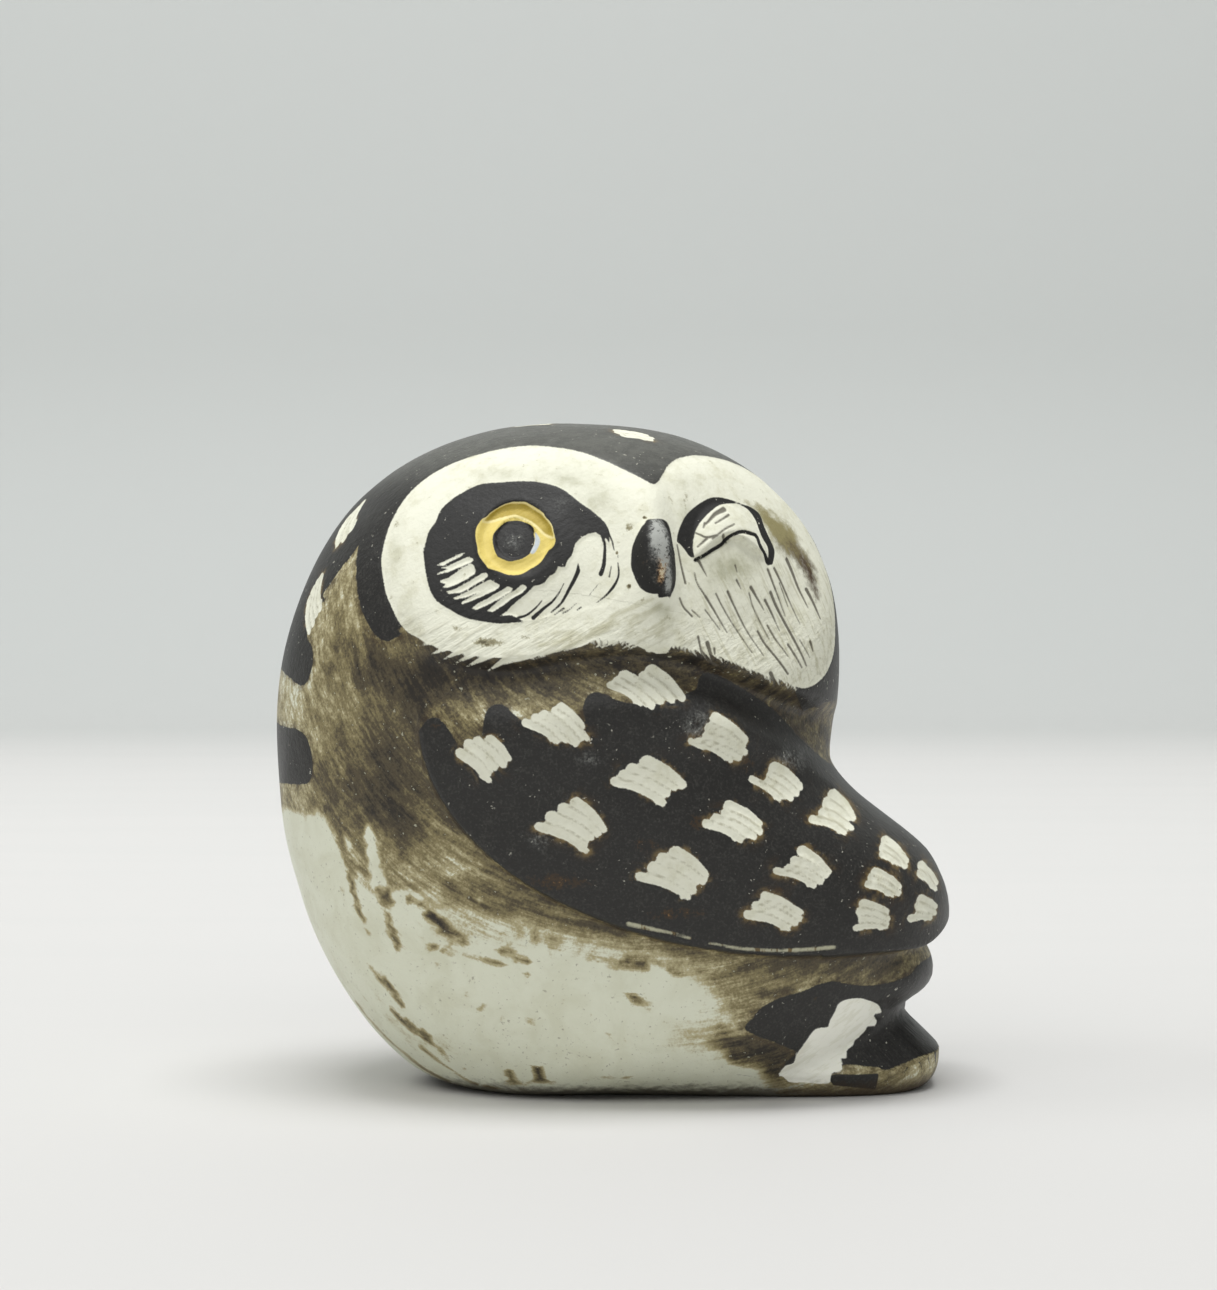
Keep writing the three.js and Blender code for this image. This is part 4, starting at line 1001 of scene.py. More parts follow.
# heaps of wash thickness; the rows at x 18, 22 and 29 low under the wing add painted shade, and the two rows
# of -0.8 at the neck thin the wash as a painted highlight along its lip
THICK_AND_PAINTED_LIGHT = [
    (-24.5, 40.0, 5.0, 9.0, 0.65), (-23.8, 39.5, 2.6, 9.0, 0.4), (-20.2, 46.6, 4.2, 2.4, 0.75),
    (-22.5, 47.0, 3.5, 2.5, 0.4), (-27.0, 33.5, 4.5, 5.4, 0.95), (-26.5, 47.0, 2.4, 5.0, 0.7),
    (-30.5, 36.0, 2.5, 5.0, 0.3), (-20.5, 30.5, 4.0, 3.0, 0.5), (-12.8, 23.4, 6.0, 1.6, 0.5),
    (-2.0, 20.0, 6.0, 1.2, 0.3), (14.0, 44.9, 4.6, 1.2, 0.2), (29.0, 13.6, 5.5, 2.4, 1.0),
    (22.0, 15.8, 7.0, 1.6, 0.7), (14.0, 6.5, 4.5, 2.6, 0.9), (-9.0, 47.4, 7.0, 0.9, 0.4),
    (4.0, 48.4, 6.0, 0.7, 0.4), (17.2, 4.4, 3.0, 2.2, 1.1), (-1.0, 45.6, 7.0, 1.6, -0.8),
    (-12.0, 42.8, 6.0, 1.8, -0.8), (-35.5, 47.0, 1.6, 8.0, -0.7), (18.0, 13.6, 6.0, 1.6, 0.3),
    (-27.5, 43.0, 1.2, 3.0, -0.3)]
HAZE = [
    (10.0, 8.5, 5.0, 4.0, 0.4), (-14.0, 20.5, 8.0, 2.6, 0.55), (0.0, 17.5, 8.0, 1.6, 0.42),
    (-25.0, 11.0, 3.0, 6.0, 0.22), (-20.0, 6.0, 4.0, 3.0, 0.25)]
SMUDGES = [
    (-13.6, 50.5, 1.6, 0.4, 0.9), (-10.1, 50.9, 1.0, 0.35, 0.8), (-17.0, 51.9, 0.8, 0.4, 0.5),
    (-23.7, 62.6, 0.5, 1.0, 0.35), (1.3, 62.5, 0.35, 0.3, 1.2), (1.3, 56.3, 0.2, 0.25, 1.6),
    (2.8, 55.0, 0.3, 0.15, 1.6), (2.9, 63.5, 0.25, 0.15, 1.4), (0.0, 59.8, 0.15, 0.2, 1.2),
    (7.4, 65.6, 0.3, 1.6, 0.4)]
# painted shade on the whites: under the shut lid, at the brow, beside the beak and along the mask's edges
PAINTED_SHADE_SPOTS = [
    (-2.0, 65.2, 2.6, 1.8, 0.35), (-5.2, 67.8, 2.0, 0.8, 0.3), (-13.0, 68.0, 3.0, 1.0, 0.25),
    (-6.0, 68.2, 7.0, 2.4, 0.22), (-23.6, 61.0, 1.0, 4.0, 0.3), (-22.0, 54.0, 1.5, 3.0, 0.2),
    (13.0, 58.2, 2.4, 2.2, 0.55), (10.2, 57.4, 2.0, 2.2, 0.4), (7.6, 63.4, 1.0, 2.6, 0.45),
    (4.6, 54.0, 1.1, 0.9, 0.5), (7.0, 67.6, 2.4, 1.2, 0.2), (16.0, 50.0, 3.0, 3.0, 0.25),
    (-14.0, 50.6, 3.0, 0.7, 0.25), (5.4, 52.0, 1.2, 2.0, 0.25), (11.4, 63.0, 2.6, 1.2, 0.15)]
WARM_SPOTS = [
    (4.9, 58.6, 0.6, 1.1, 1.15), (4.7, 57.2, 0.45, 0.8, 0.7), (3.4, 58.8, 1.6, 3.4, 0.36),
    (5.2, 60.0, 0.3, 0.8, 0.6), (-19.2, 41.4, 1.1, 0.6, 0.5), (3.0, 29.0, 2.4, 1.2, 0.5),
    (-6.0, 25.0, 6.0, 1.6, 0.52), (6.0, 21.6, 5.0, 1.0, 0.55), (8.4, 31.4, 1.6, 1.4, 0.5),
    (14.0, 37.4, 1.4, 1.8, 0.5), (17.4, 23.9, 2.2, 0.9, 0.45), (-25.1, 67.1, 0.4, 0.25, 1.1),
    (21.7, 11.9, 0.25, 0.2, 1.3), (15.2, 26.6, 1.4, 0.6, 0.35), (24.6, 28.0, 1.6, 0.6, 0.3)]
# painted highlights on the beak, the wing, the pupil and the cap
PAINTED_HIGHLIGHT_SPOTS = [
    (4.2, 62.0, 0.6, 1.4, 1.5), (5.0, 60.3, 0.45, 1.5, 1.3), (5.4, 57.0, 0.35, 1.5, 0.9),
    (4.4, 59.4, 1.3, 3.0, 0.3), (8.8, 41.6, 2.4, 1.8, 0.32), (18.7, 37.4, 2.2, 1.6, 0.3),
    (-10.9, 61.0, 1.4, 1.2, 0.3), (-6.0, 65.0, 1.8, 1.4, 0.2), (-8.1, 29.5, 1.6, 1.0, 0.3),
    (-2.8, 38.1, 1.5, 1.0, 0.3)]
BEAK_PAINT = [
    (3.2, 63.3), (3.9, 63.4), (4.7, 63.4), (5.3, 63.1), (5.6, 62.5), (5.8, 61.7), (6.0, 60.8), (6.2, 59.8),
    (6.2, 58.8), (6.2, 57.8), (6.1, 56.7), (5.8, 55.6), (5.6, 55.0), (5.4, 55.2), (4.4, 55.1), (4.3, 55.5),
    (3.8, 55.5), (3.1, 55.7), (2.5, 56.1), (2.1, 56.7), (1.8, 57.4), (1.5, 58.3), (1.5, 59.4), (1.6, 60.3),
    (1.9, 61.2), (2.5, 62.4), (2.9, 62.9)]


def heaps(side, across, rows):
    """Soft heaps added together: middle, half length and half height of each, and how much it adds."""
    total = np.zeros(len(side))
    for x, z, long, high, amount in rows:
        total += amount * np.exp(-((side[:, 0] - x) / long) ** 2 - ((side[:, 1] - z) / high) ** 2)
    return total * ease(1.0, -1.0, across)


def wash_amount(p, side):
    """How much brown wash is left, 0 to 1, and how thick it lies, painted shade and a painted highlight
    included.
    """
    near = p[:, 1] < 0
    soft = eased(WASH_SOFT, ease(*WASH_SOFT_RUN, p[:, 0]))
    outline = inside(side, WASH_LOW)
    fringe = p[:, 2] - FRINGE_FOOT + FRINGE_FALL * ease(*FRINGE_RUN, p[:, 1])
    behind = outline - 2 * np.maximum(TAIL_START - p[:, 0], 0)
    far = np.maximum.reduce([WING_WASH - wing_edge(p), fringe, behind])
    amount = ease(-soft, soft, np.where(near, outline, far)) * np.where(wing_edge(p) > 0, OPEN_WASH, 1.0)
    streak = np.zeros(len(p))
    for points, width, tip, strength in STREAKS:
        one = stroke(side, points, width, tip)
        amount = np.maximum(amount, only(near, ease(-0.2, 0.25, one) * strength))
        streak = np.maximum(streak, only(near, ease(-0.2, 0.3, one) * strength))
    for x, z in SPECKS:
        amount = np.maximum(amount, 0.5 * ease(0.5, 0.1, np.hypot(side[:, 0] - x, side[:, 1] - z)) * near)
    amount = np.maximum(amount, only(near, ease(-0.5, 0.7, inside(side, BLOTCH))))
    # painted highlights: the wash is thinned along these strokes
    for points, width, tip in PAINTED_GLEAMS:
        amount = np.where(near, amount * (1 - ease(-0.15, 0.2, stroke(side, points, width, tip))), amount)
    amount = np.maximum(amount, heaps(side, p[:, 1], HAZE))
    thick = POOL * ease(0.1, 1.6, neck_crease(p)) + heaps(side, p[:, 1], THICK_AND_PAINTED_LIGHT) + STREAK_POOL * streak
    return amount, thick + POOL * ease(2.2, 0.3, wing_edge(p)) * ease(-24, -20, p[:, 0])


print("streaks:", len(STREAKS), "gleams:", len(PAINTED_GLEAMS), "specks:", len(SPECKS))

# %% [markdown]
# The tail is a short fan on the table: a black wedge, a broad white bar pulled across it with the loop
# tool, black again to the tip, and an unglazed olive rim with a few brown nicks.

# %% The tail
TAIL_BLACK = [
    (13.7, 8.7), (14.7, 10.0), (15.6, 11.1), (17.5, 12.0), (19.9, 12.6), (21.5, 13.2), (23.4, 13.5),
    (26.0, 12.8), (29.0, 12.6), (32.0, 13.2), (35.0, 14.5), (46.0, 14.0), (46.0, 5.0), (36.1, 4.2),
    (34.4, 4.2), (32.3, 3.7), (30.0, 2.9), (29.2, 3.2), (26.6, 3.5), (24.8, 3.7), (24.0, 2.9), (20.4, 3.0),
    (18.2, 4.2), (19.3, 5.3), (19.1, 5.9), (17.1, 6.9), (15.3, 7.7)]
TAIL_BAR = [
    (24.0, 10.8), (24.7, 11.2), (25.7, 11.3), (26.6, 11.2), (27.6, 10.8), (28.6, 10.2), (29.0, 9.5),
    (29.1, 9.1), (28.2, 9.0), (28.6, 8.2), (28.4, 7.6), (27.5, 7.7), (27.3, 7.3), (26.6, 6.6), (26.1, 6.3),
    (25.9, 5.7), (25.2, 5.2), (25.2, 4.4), (24.5, 4.3), (24.8, 3.5), (24.5, 3.0), (23.5, 2.9), (23.4, 2.1),
    (22.8, 1.7), (20.4, 1.9), (18.9, 2.0), (18.1, 2.7), (17.6, 2.9), (18.3, 4.0), (19.2, 4.3), (19.5, 5.3),
    (20.0, 6.1), (20.6, 7.0), (21.3, 8.0), (22.0, 8.3), (22.9, 8.3), (23.1, 9.0), (23.6, 9.9)]
TAIL_MARK = [
    (23.4, 2.7), (24.0, 2.8), (26.2, 2.7), (28.7, 2.7), (28.6, 1.8), (28.4, 0.8), (25.9, 1.2), (23.7, 1.5),
    (23.3, 2.0)]
RIM_NICKS = [
    ([(32.0, 3.2), (31.6, 2.4), (31.8, 1.6)], 0.4), ([(33.2, 3.8), (33.7, 2.8), (33.5, 1.9)], 0.4),
    ([(34.4, 3.9), (34.7, 2.8), (34.4, 1.7)], 0.35), ([(30.4, 2.2), (30.6, 1.2)], 0.2),
    ([(13.0, 3.2), (14.9, 2.8), (16.2, 2.2), (18.6, 1.7), (23.7, 1.2)], 0.25),
    ([(35.4, 4.2), (35.5, 2.6)], 0.5)]
TAIL_PAINT_TOP = 15


def tail_paint(p, side):
    """Black, bar and rim of the tail, the same on both sides; the bar's pulls lie across it."""
    ink = inside(side, TAIL_BLACK)
    bar = inside(side, TAIL_BAR)
    mark = inside(side, TAIL_MARK, round_line=False)
    low = p[:, 2] < TAIL_PAINT_TOP
    nicks = strokes(side, [(points, width, width * 0.5) for points, width in RIM_NICKS], low)
    return only(low, ink), only(low, bar), only(low, np.maximum(mark, nicks - 0.1))


print("nicks in the rim:", len(RIM_NICKS))

# %% [markdown]
# All the layers are now laid over one another in the order of the real work: wash, slip, mask and cuts,
# then the dark lines that were left or brushed back in. The same numbers give the depth of each cut.

# %% The layers together
SEED = 12
BEAK_INK = 0.16
HEAPS = {"smudge": SMUDGES, "warm": WARM_SPOTS, "painted_highlight": PAINTED_HIGHLIGHT_SPOTS, "painted_shade": PAINTED_SHADE_SPOTS}


def layers(p):
    """Every painted layer of the given points, in millimetres inside its edge, and the depth of the cuts."""
    draw = np.random.default_rng(SEED)
    side, face, breast, across, front = layouts(p)
    near = p[:, 1] < 0
    wing, spots, spot_cut, ridge = wing_paint(p, side)
    mask_l, patch, lash, lines, soft, ring, band, glint = face_left(p, side, across, front)
    mask_r, arc, rim, shade, hairs = face_right(face, front, draw)
    cap, cap_spots, cap_cut, cap_ridge = cap_paint(p, side, breast, draw)
    tail, bar, mark = tail_paint(p, side)
    beak = only(across > 1.6, BEAK_INK - beak_body(p))
    beak = only(front > 15, np.maximum(beak, only(across < 3, inside(side, BEAK_PAINT))))
    mask = np.maximum(mask_l, mask_r)
    # painted shadow under the wing's edge, drawn in black with the lines
    under = strokes(side, WING_EDGE_SHADOW, near)
    wash, thick = wash_amount(p, side)
    out = {name: heaps(side, p[:, 1], rows) for name, rows in HEAPS.items()}
    out.update({
        "slip": np.maximum.reduce([wing, cap, tail]), "ridge": np.maximum(ridge, cap_ridge),
        "pull": np.maximum(spots, cap_spots), "cut": np.maximum(spot_cut, cap_cut),
        "mask": mask, "patch": patch, "lash": lash, "fine": lines, "soft": soft, "yolk": ring, "band": band,
        "glint": glint, "shade": shade, "rim": rim, "hairs": hairs, "bar": bar,
        "bare": np.maximum.reduce([np.minimum(mask, -patch), np.minimum(lash, mask), bar]),
        "line": np.maximum.reduce([np.minimum(lines, mask), arc, rim, beak, mark, under]),
        "worn": strokes(side, WORN, near), "wash": wash,
        # just under the mask's lower edge the wash is made thicker: a painted shadow of the chin
        "thick": thick + POOL * ease(-1.5, -0.1, mask) * ease(53, 51, p[:, 2]),
        "disc": ease(3.5, 7.0, face[:, 0]) * ease(62, 56, face[:, 1]) * (mask_r > 0)})
    return out


print("soft heaps:", {name: len(rows) for name, rows in HEAPS.items()})

# %% [markdown]
# The skin could be a grid laid over the form, but the marks are far finer than the body. So it starts as
# a ball of triangles, each point is pushed out along its own ray until it meets the form, and edges are
# halved again and again only where a mark or a turn of the form asks for shorter ones.

# %% Rays and sizes
CORE, CORE_SPREAD = 42.0, 15.0
BALL, ROUNDS = 6, 4
FIRST_STEP, LAST_STEP, STEP, HALVINGS, SLACK = 12.0, 62.0, 0.5, 13, 0.8
NEAR_EDGE, FAR_EDGE, SPLIT_AT = 1.0, 1.25, 1.42
EDGES = ("slip", "mask", "patch", "bare", "pull", "worn")


def on_rays(way, reach):
    """The point at that reach along each ray; the rays start on the owl's upright axis."""
    p = way * reach[:, None]
    p[:, 2] += CORE + CORE_SPREAD * way[:, 2]
    return p


def meet(way, low, high):
    """Reach at which each ray leaves the clay, found by halving."""
    for _ in range(HALVINGS):
        middle = (low + high) / 2
        within = form(on_rays(way, middle)) < 0
        low, high = np.where(within, middle, low), np.where(within, high, middle)
    return (low + high) / 2


def march(way):
    """Reach of the first way out of the clay, from the inside."""
    reach = np.full(len(way), LAST_STEP)
    left = np.arange(len(way))
    for step in np.arange(FIRST_STEP, LAST_STEP, STEP):
        out = form(on_rays(way[left], np.full(len(left), step))) >= 0
        reach[left[out]] = step
        left = left[~out]
        if not len(left):
            break
    return meet(way, reach - STEP, reach)


def near_guess(way, guess):
    """Reach close to a guess, and by marching where the guess doesn't bracket it."""
    good = (form(on_rays(way, guess - SLACK)) < 0) & (form(on_rays(way, guess + SLACK)) > 0)
    reach = np.empty(len(way))
    reach[good] = meet(way[good], guess[good] - SLACK, guess[good] + SLACK)
    if (~good).any():
        reach[~good] = march(way[~good])
    return reach


def allowed(gap, shortest, growth, margin):
    """An edge's length: shortest within a margin of a mark, longer as the gap to it grows."""
    return shortest + growth * np.maximum(gap - margin, 0)


def wanted(p, painted):
    """Longest edge that each place can carry, in millimetres."""
    across, front = across_face(p)
    edge = np.minimum.reduce([np.abs(painted[name]) for name in EDGES])
    fine = np.minimum(np.abs(painted["line"]), np.abs(painted["lash"]))
    thin = np.maximum(painted["hairs"], painted["fine"])
    lid = np.abs(off_centre(across, p[:, 2], LID, LID_RADII) - 1) * 5
    tail = (p[:, 2] < 6) & (p[:, 0] > 15)
    return np.minimum.reduce([
        allowed(edge, 0.30, 0.55, 0.25), allowed(fine, 0.21, 0.6, 0.15), allowed(-thin, 0.14, 0.6, 0.1),
        allowed(-painted["yolk"], 0.26, 0.5, 0.2), allowed(np.abs(wing_edge(p)), 0.5, 0.4, 0.8),
        allowed(beak_body(p), 0.4, 0.4, 0.6), np.where(front > 8, allowed(lid, 0.35, 0.4, 0.6), FAR_EDGE),
        np.where(painted["cut"] > 0, 0.32, FAR_EDGE), np.where(painted["bar"] > 0, 0.36, FAR_EDGE),
        np.where(tail, 0.6, FAR_EDGE), np.where(p[:, 1] > 4, FAR_EDGE, NEAR_EDGE)])


print("reach from the core to the tail:", march(np.array([[1.0, 0.0, 0.0]])).round(1)[0], "mm")

# %% [markdown]
# The ball is kept round while it is refined, and each point carries its reach. A new point starts from
# the mean of its neighbours' reaches, so finding the skin again takes only a few steps.

# %% The skin
bm = bmesh.new()
bmesh.ops.create_icosphere(bm, subdivisions=BALL, radius=1.0)
reach_layer = bm.verts.layers.float.new("reach")
size_layer = bm.verts.layers.float.new("size")


def unit(vectors):
    """Directions of length 1."""
    way = np.array(vectors, float)
    return way / np.linalg.norm(way, axis=1)[:, None]


fresh = list(bm.verts)
way = unit([v.co for v in fresh])
reach = march(way)
for turn in range(ROUNDS + 1):
    p = on_rays(way, reach)
    size = wanted(p, layers(p))
    for v, w, r, s in zip(fresh, way, reach, size):
        v.co, v[reach_layer], v[size_layer] = w, r, s
    if turn == ROUNDS:
        break
    bm.verts.ensure_lookup_table()
    bm.verts.index_update()
    known = len(bm.verts)
    reaches = np.array([v[reach_layer] for v in bm.verts])
    sizes = np.array([v[size_layer] for v in bm.verts])
    place = on_rays(unit([v.co for v in bm.verts]), reaches)
    ends = np.array([(e.verts[0].index, e.verts[1].index) for e in bm.edges])
    length = np.linalg.norm(place[ends[:, 0]] - place[ends[:, 1]], axis=1)
    long = length > np.minimum(sizes[ends[:, 0]], sizes[ends[:, 1]]) * SPLIT_AT
    edges = [e for e, cut in zip(bm.edges, long) if cut]
    bmesh.ops.subdivide_edges(bm, edges=edges, cuts=1, use_grid_fill=True)
    bmesh.ops.triangulate(bm, faces=[f for f in bm.faces if len(f.verts) > 3], quad_method="BEAUTY")
    bm.verts.ensure_lookup_table()
    fresh = [bm.verts[i] for i in range(known, len(bm.verts))]
    way = unit([v.co for v in fresh])
    reach = near_guess(way, np.array([v[reach_layer] for v in fresh]))
    print("round", turn + 1, "triangles:", len(bm.faces))

# %% [markdown]
# Each mark is a cut or a layer with a real depth: tool pulls go in by a sixth of a millimetre, the mask
# lies a little under the slip, the lid's rim is the deepest line. The skin is moved along its own
# direction by that much, and by a slight unevenness that a hand leaves on any pressed surface.

# %% Depth of the marks
MASK_STEP, LINE_DEPTH, RIM_DEPTH, LASH_DEPTH, BAR_DEPTH = 0.09, 0.10, 0.28, 0.13, 0.16
LIP_HEIGHT, COMB_DEPTH, WORN_DEPTH, PULL_PITCH = 0.12, 0.03, 0.1, 0.95
SLOPE_STEP = 0.02


def outward(p):
    """Direction out of the skin."""
    slope = np.empty_like(p)
    for axis in range(3):
        step = np.zeros(3)
        step[axis] = SLOPE_STEP
        slope[:, axis] = form(p + step) - form(p - step)
    return slope / np.maximum(np.linalg.norm(slope, axis=1), NO_LENGTH)[:, None]


def hand(p):
    """Slow unevenness of the pressed clay."""
    x, y, z = p.T / 4.3
    wave = np.sin(1.3 * x + 2.1 * np.sin(0.6 * z + y)) + np.sin(1.7 * z - 1.1 * x + 1.9 * np.sin(0.7 * y))
    return 0.035 * wave + 0.02 * np.sin(2.9 * y + 2.3 * z + 1.7 * np.sin(1.9 * x))


def relief(p, painted):
    """How far the marks raise or lower the skin."""
    side, across, front = p[:, [0, 2]], *across_face(p)
    white = np.minimum(painted["mask"], -painted["patch"])
    depth = np.maximum(painted["cut"], MASK_STEP * ease(-0.06, 0.1, white))
    depth = np.maximum(depth, LASH_DEPTH * ease(-0.05, 0.3, np.minimum(painted["lash"], painted["mask"])))
    depth = depth + LINE_DEPTH * ease(-0.08, 0.12, painted["hairs"])
    depth = depth + RIM_DEPTH * ease(-0.15, 0.2, painted["rim"])
    pull = np.abs(np.sin(np.pi * (side[:, 1] + 0.12 * side[:, 0]) / PULL_PITCH))
    depth = np.maximum(depth, BAR_DEPTH * ease(-0.06, 0.12, painted["bar"]) * (0.55 + 0.45 * pull))
    lip = LIP_HEIGHT * hump(painted["yolk"], 0.3) * (painted["mask"] > -1)
    chin = hump(side[:, 1] - 50.5, 3.2) * (front > 8) * (painted["mask"] > 0)
    comb = np.sin(7.5 * (side[:, 1] - 0.55 * side[:, 0]) + 2 * np.sin(0.9 * side[:, 0]))
    chin = COMB_DEPTH * chin * comb * ease(6, 0, across)
    worn = WORN_DEPTH * ease(-0.1, 0.1, painted["worn"])
    return hand(p) - depth + lip + chin - worn


print("deepest mark:", RIM_DEPTH, "mm")

# %% [markdown]
# The same cut that makes the flat foot of the solid is made here with a plane, and the hole is filled.
# Then the painted layers are stored on the points, where the finish can read them, and the skin is set
# over the middle of the solid, whose own box was centred after it was made.

# %% The owl's mesh
MERGE_GAP = 1e-7
ATTRIBUTES = ("slip", "bare", "line", "hairs", "yolk", "band", "glint", "wash", "thick", "shade", "worn",
              "mask", "ridge", "pull", "smudge", "soft", "warm", "painted_highlight", "painted_shade", "disc")

way = unit([v.co for v in bm.verts])
reaches = np.array([v[reach_layer] for v in bm.verts])
place = on_rays(way, reaches)
place = place + outward(place) * relief(place, layers(place))[:, None]
for v, point in zip(bm.verts, place * MILLIMETRE):
    v.co = point
lowest, highest = (np.array(corner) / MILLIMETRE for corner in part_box("owl"))
shift = (lowest + highest)[:2] / 2 - (place.min(0) + place.max(0))[:2] / 2
foot_line = bmesh.ops.bisect_plane(bm, geom=bm.verts[:] + bm.edges[:] + bm.faces[:], dist=MERGE_GAP,
                                   plane_co=(0, 0, 0), plane_no=(0, 0, -1), clear_outer=True)["geom_cut"]
bmesh.ops.holes_fill(bm, edges=[e for e in foot_line if isinstance(e, bmesh.types.BMEdge)], sides=0)
bmesh.ops.triangulate(bm, faces=[f for f in bm.faces if len(f.verts) > 3])
bmesh.ops.recalc_face_normals(bm, faces=bm.faces)
owl_mesh = bpy.data.meshes.new("glazed_owl")
bm.to_mesh(owl_mesh)
bm.free()
owl_mesh.polygons.foreach_set("use_smooth", [True] * len(owl_mesh.polygons))
points = np.empty(len(owl_mesh.vertices) * 3, np.float32)
owl_mesh.vertices.foreach_get("co", points)
points = points.reshape(-1, 3).astype(float) / MILLIMETRE
painted = layers(points)
for name in ATTRIBUTES:
    kept = owl_mesh.attributes.new(name, "FLOAT", "POINT")
    kept.data.foreach_set("value", painted[name].astype(np.float32))
owl_mesh.transform(Matrix.Translation((*shift * MILLIMETRE, 0)))
glazed_owl = bpy.data.objects.new("glazed_owl", owl_mesh)
bpy.context.scene.collection.objects.link(glazed_owl)
print("owl triangles:", len(owl_mesh.polygons), "box:", points.min(0).round(2), points.max(0).round(2),
      "off the solid's middle by", shift.round(3))

# %% [markdown]
# One finish covers the whole owl, because on the real piece the layers run into each other. It reads the
# stored distances and lays colour over colour in the order of the kiln: clay and cream glaze, torn brown
# wash, black slip, scraped whites, then lines. The rag and brush went round the body in wide arcs below
# the head, so the streaks of the wash are noise drawn out along circles about the cheek.

# %% Grain, flecks and clouds
ware = Finish("glazed stoneware")
spot = ware.node("ShaderNodeTexCoord")[3]
here = ware.node("ShaderNodeVectorMath", {"operation": "SCALE"}, {0: spot, 3: 1 / MILLIMETRE})[0]
paint_of = {name: ware.attribute(name) for name in ATTRIBUTES}
on_mask = paint_of["mask"].between(0.0, 0.3)
CHEEK_AT, ARC_RADIUS = (4.0, 60.0), 30.0

x, y, z = ware.node("ShaderNodeSeparateXYZ", {}, {0: here})
aside, below = x - CHEEK_AT[0], CHEEK_AT[1] - z
turned = ware.node("ShaderNodeMath", {"operation": "ARCTAN2"}, {0: aside, 1: below})[0]
from_cheek = (aside * aside + below * below).power(0.5)


def round_body(along):
    """Places laid out along arcs about the cheek, drawn out by that much."""
    placed = {0: turned * (ARC_RADIUS / along), 1: from_cheek, 2: y / 2}
    return ware.node("ShaderNodeCombineXYZ", {}, placed)[0]


def swing(noise, share):
    """Noise about nothing, reaching to about that share on either side."""
    return (noise - 0.5) * (4 * share)


grain = ware.noise(here, 3.6, 2, 0.6)
fleck = ware.noise(here, 1.9, 1, 0.5)
tear = ware.noise(here, 0.8, 6, 0.68)
cloud = ware.noise(here, 0.24, 4, 0.6, 0.5)
drag = ware.noise(round_body(5.0), 0.75, 6, 0.66, 0.3)
scratch = ware.noise(round_body(14.0), 2.3, 3, 0.6)
ragged = swing(tear, 0.13) + swing(grain, 0.06)
fine_ragged = swing(grain, 0.04) + swing(tear, 0.03)
print("layers that the finish reads:", len(paint_of))

# %% [markdown]
# The cream glaze turns a little greener in cloudy patches and carries small iron specks. The wash over it
# goes through tan, olive and umber as it lies thicker, and how thick it lies is one number, so its edge fades
# and tears by itself wherever noise takes it under the next step.

# %% Glaze and wash
CREAM, CREAM_GREY, GLAZE_SPECK = tone(226, 228, 208), tone(209, 209, 184), tone(104, 88, 62)
WASH_STEPS = [
    (0.10, 0.26, tone(184, 174, 136)), (0.22, 0.46, tone(134, 123, 86)), (0.42, 0.68, tone(84, 75, 55)),
    (0.66, 0.95, tone(45, 40, 33)), (0.98, 1.25, tone(28, 26, 23))]
WASH_THIN, WASH_THICK = 0.42, 0.34


def laid(under, amount, steps):
    """Colours laid one over the other as an amount goes through its steps."""
    for low, high, colour in steps:
        under = ware.mix(amount.between(low, high), under, colour)
    return under


glaze = ware.mix(cloud.between(0.36, 0.74) * 0.6, CREAM, CREAM_GREY)
glaze = ware.mix((grain * 0.5 + fleck * 0.5).between(0.60, 0.70) * 0.45, glaze, GLAZE_SPECK)
lay = paint_of["wash"] * (WASH_THIN + WASH_THICK * paint_of["thick"])
torn = swing(tear, 0.17) + swing(drag, 0.25) + swing(cloud, 0.11) + swing(scratch, 0.15) + swing(grain, 0.12)
stain = lay + torn * (0.16 + 0.84 * paint_of["wash"])
colour = laid(glaze, stain, WASH_STEPS)
salt = (fleck * 0.6 + grain * 0.4).between(0.655, 0.69) * (paint_of["wash"] - 0.2)
colour = ware.mix(salt.between(0.0, 0.6) * 0.55, colour, CREAM_GREY)
print("steps of the wash:", len(WASH_STEPS))

# %% [markdown]
# The slip is a satin black with grey grain. It thins to brown and olive where it was drawn out at an edge,
# and shows brown haze where the loop tool smeared it beside a spot. It is painted grey towards the top of the
# crown as a painted sheen, deeper black in the patch as painted shade, and pale in small painted highlights.

# %% Black slip
BLACK, PATCH_SHADE_BLACK, GREY_BLACK = tone(38, 37, 35), tone(22, 22, 21), tone(68, 67, 63)
CROWN_SHEEN, HIGHLIGHT_GREY, PIN_HOLE = tone(118, 119, 111), tone(166, 168, 163), tone(200, 198, 184)
SMEAR, SMEAR_DARK = tone(130, 110, 70), tone(62, 48, 32)
WARM_STEPS = [(0.35, 0.6, SMEAR_DARK), (0.6, 0.85, tone(134, 100, 60)), (0.9, 1.15, tone(214, 196, 158))]

edge = paint_of["slip"] + ragged * 0.7
ink = edge.between(-0.07, 0.09)
thin = edge.between(-0.9, 0.0) * tear.between(0.40, 0.60)
colour = ware.mix(thin * 0.65, colour, SMEAR_DARK)
# in the patch the grey grain is held back and the black deepened: painted shade that takes off the lamp's
# sheen there
dusty = (grain * 0.65 + tear * 0.35).between(0.46, 0.70) * (0.7 - 0.3 * on_mask)
black = ware.mix(dusty, BLACK, GREY_BLACK)
black = ware.mix(on_mask * 0.6, black, PATCH_SHADE_BLACK)
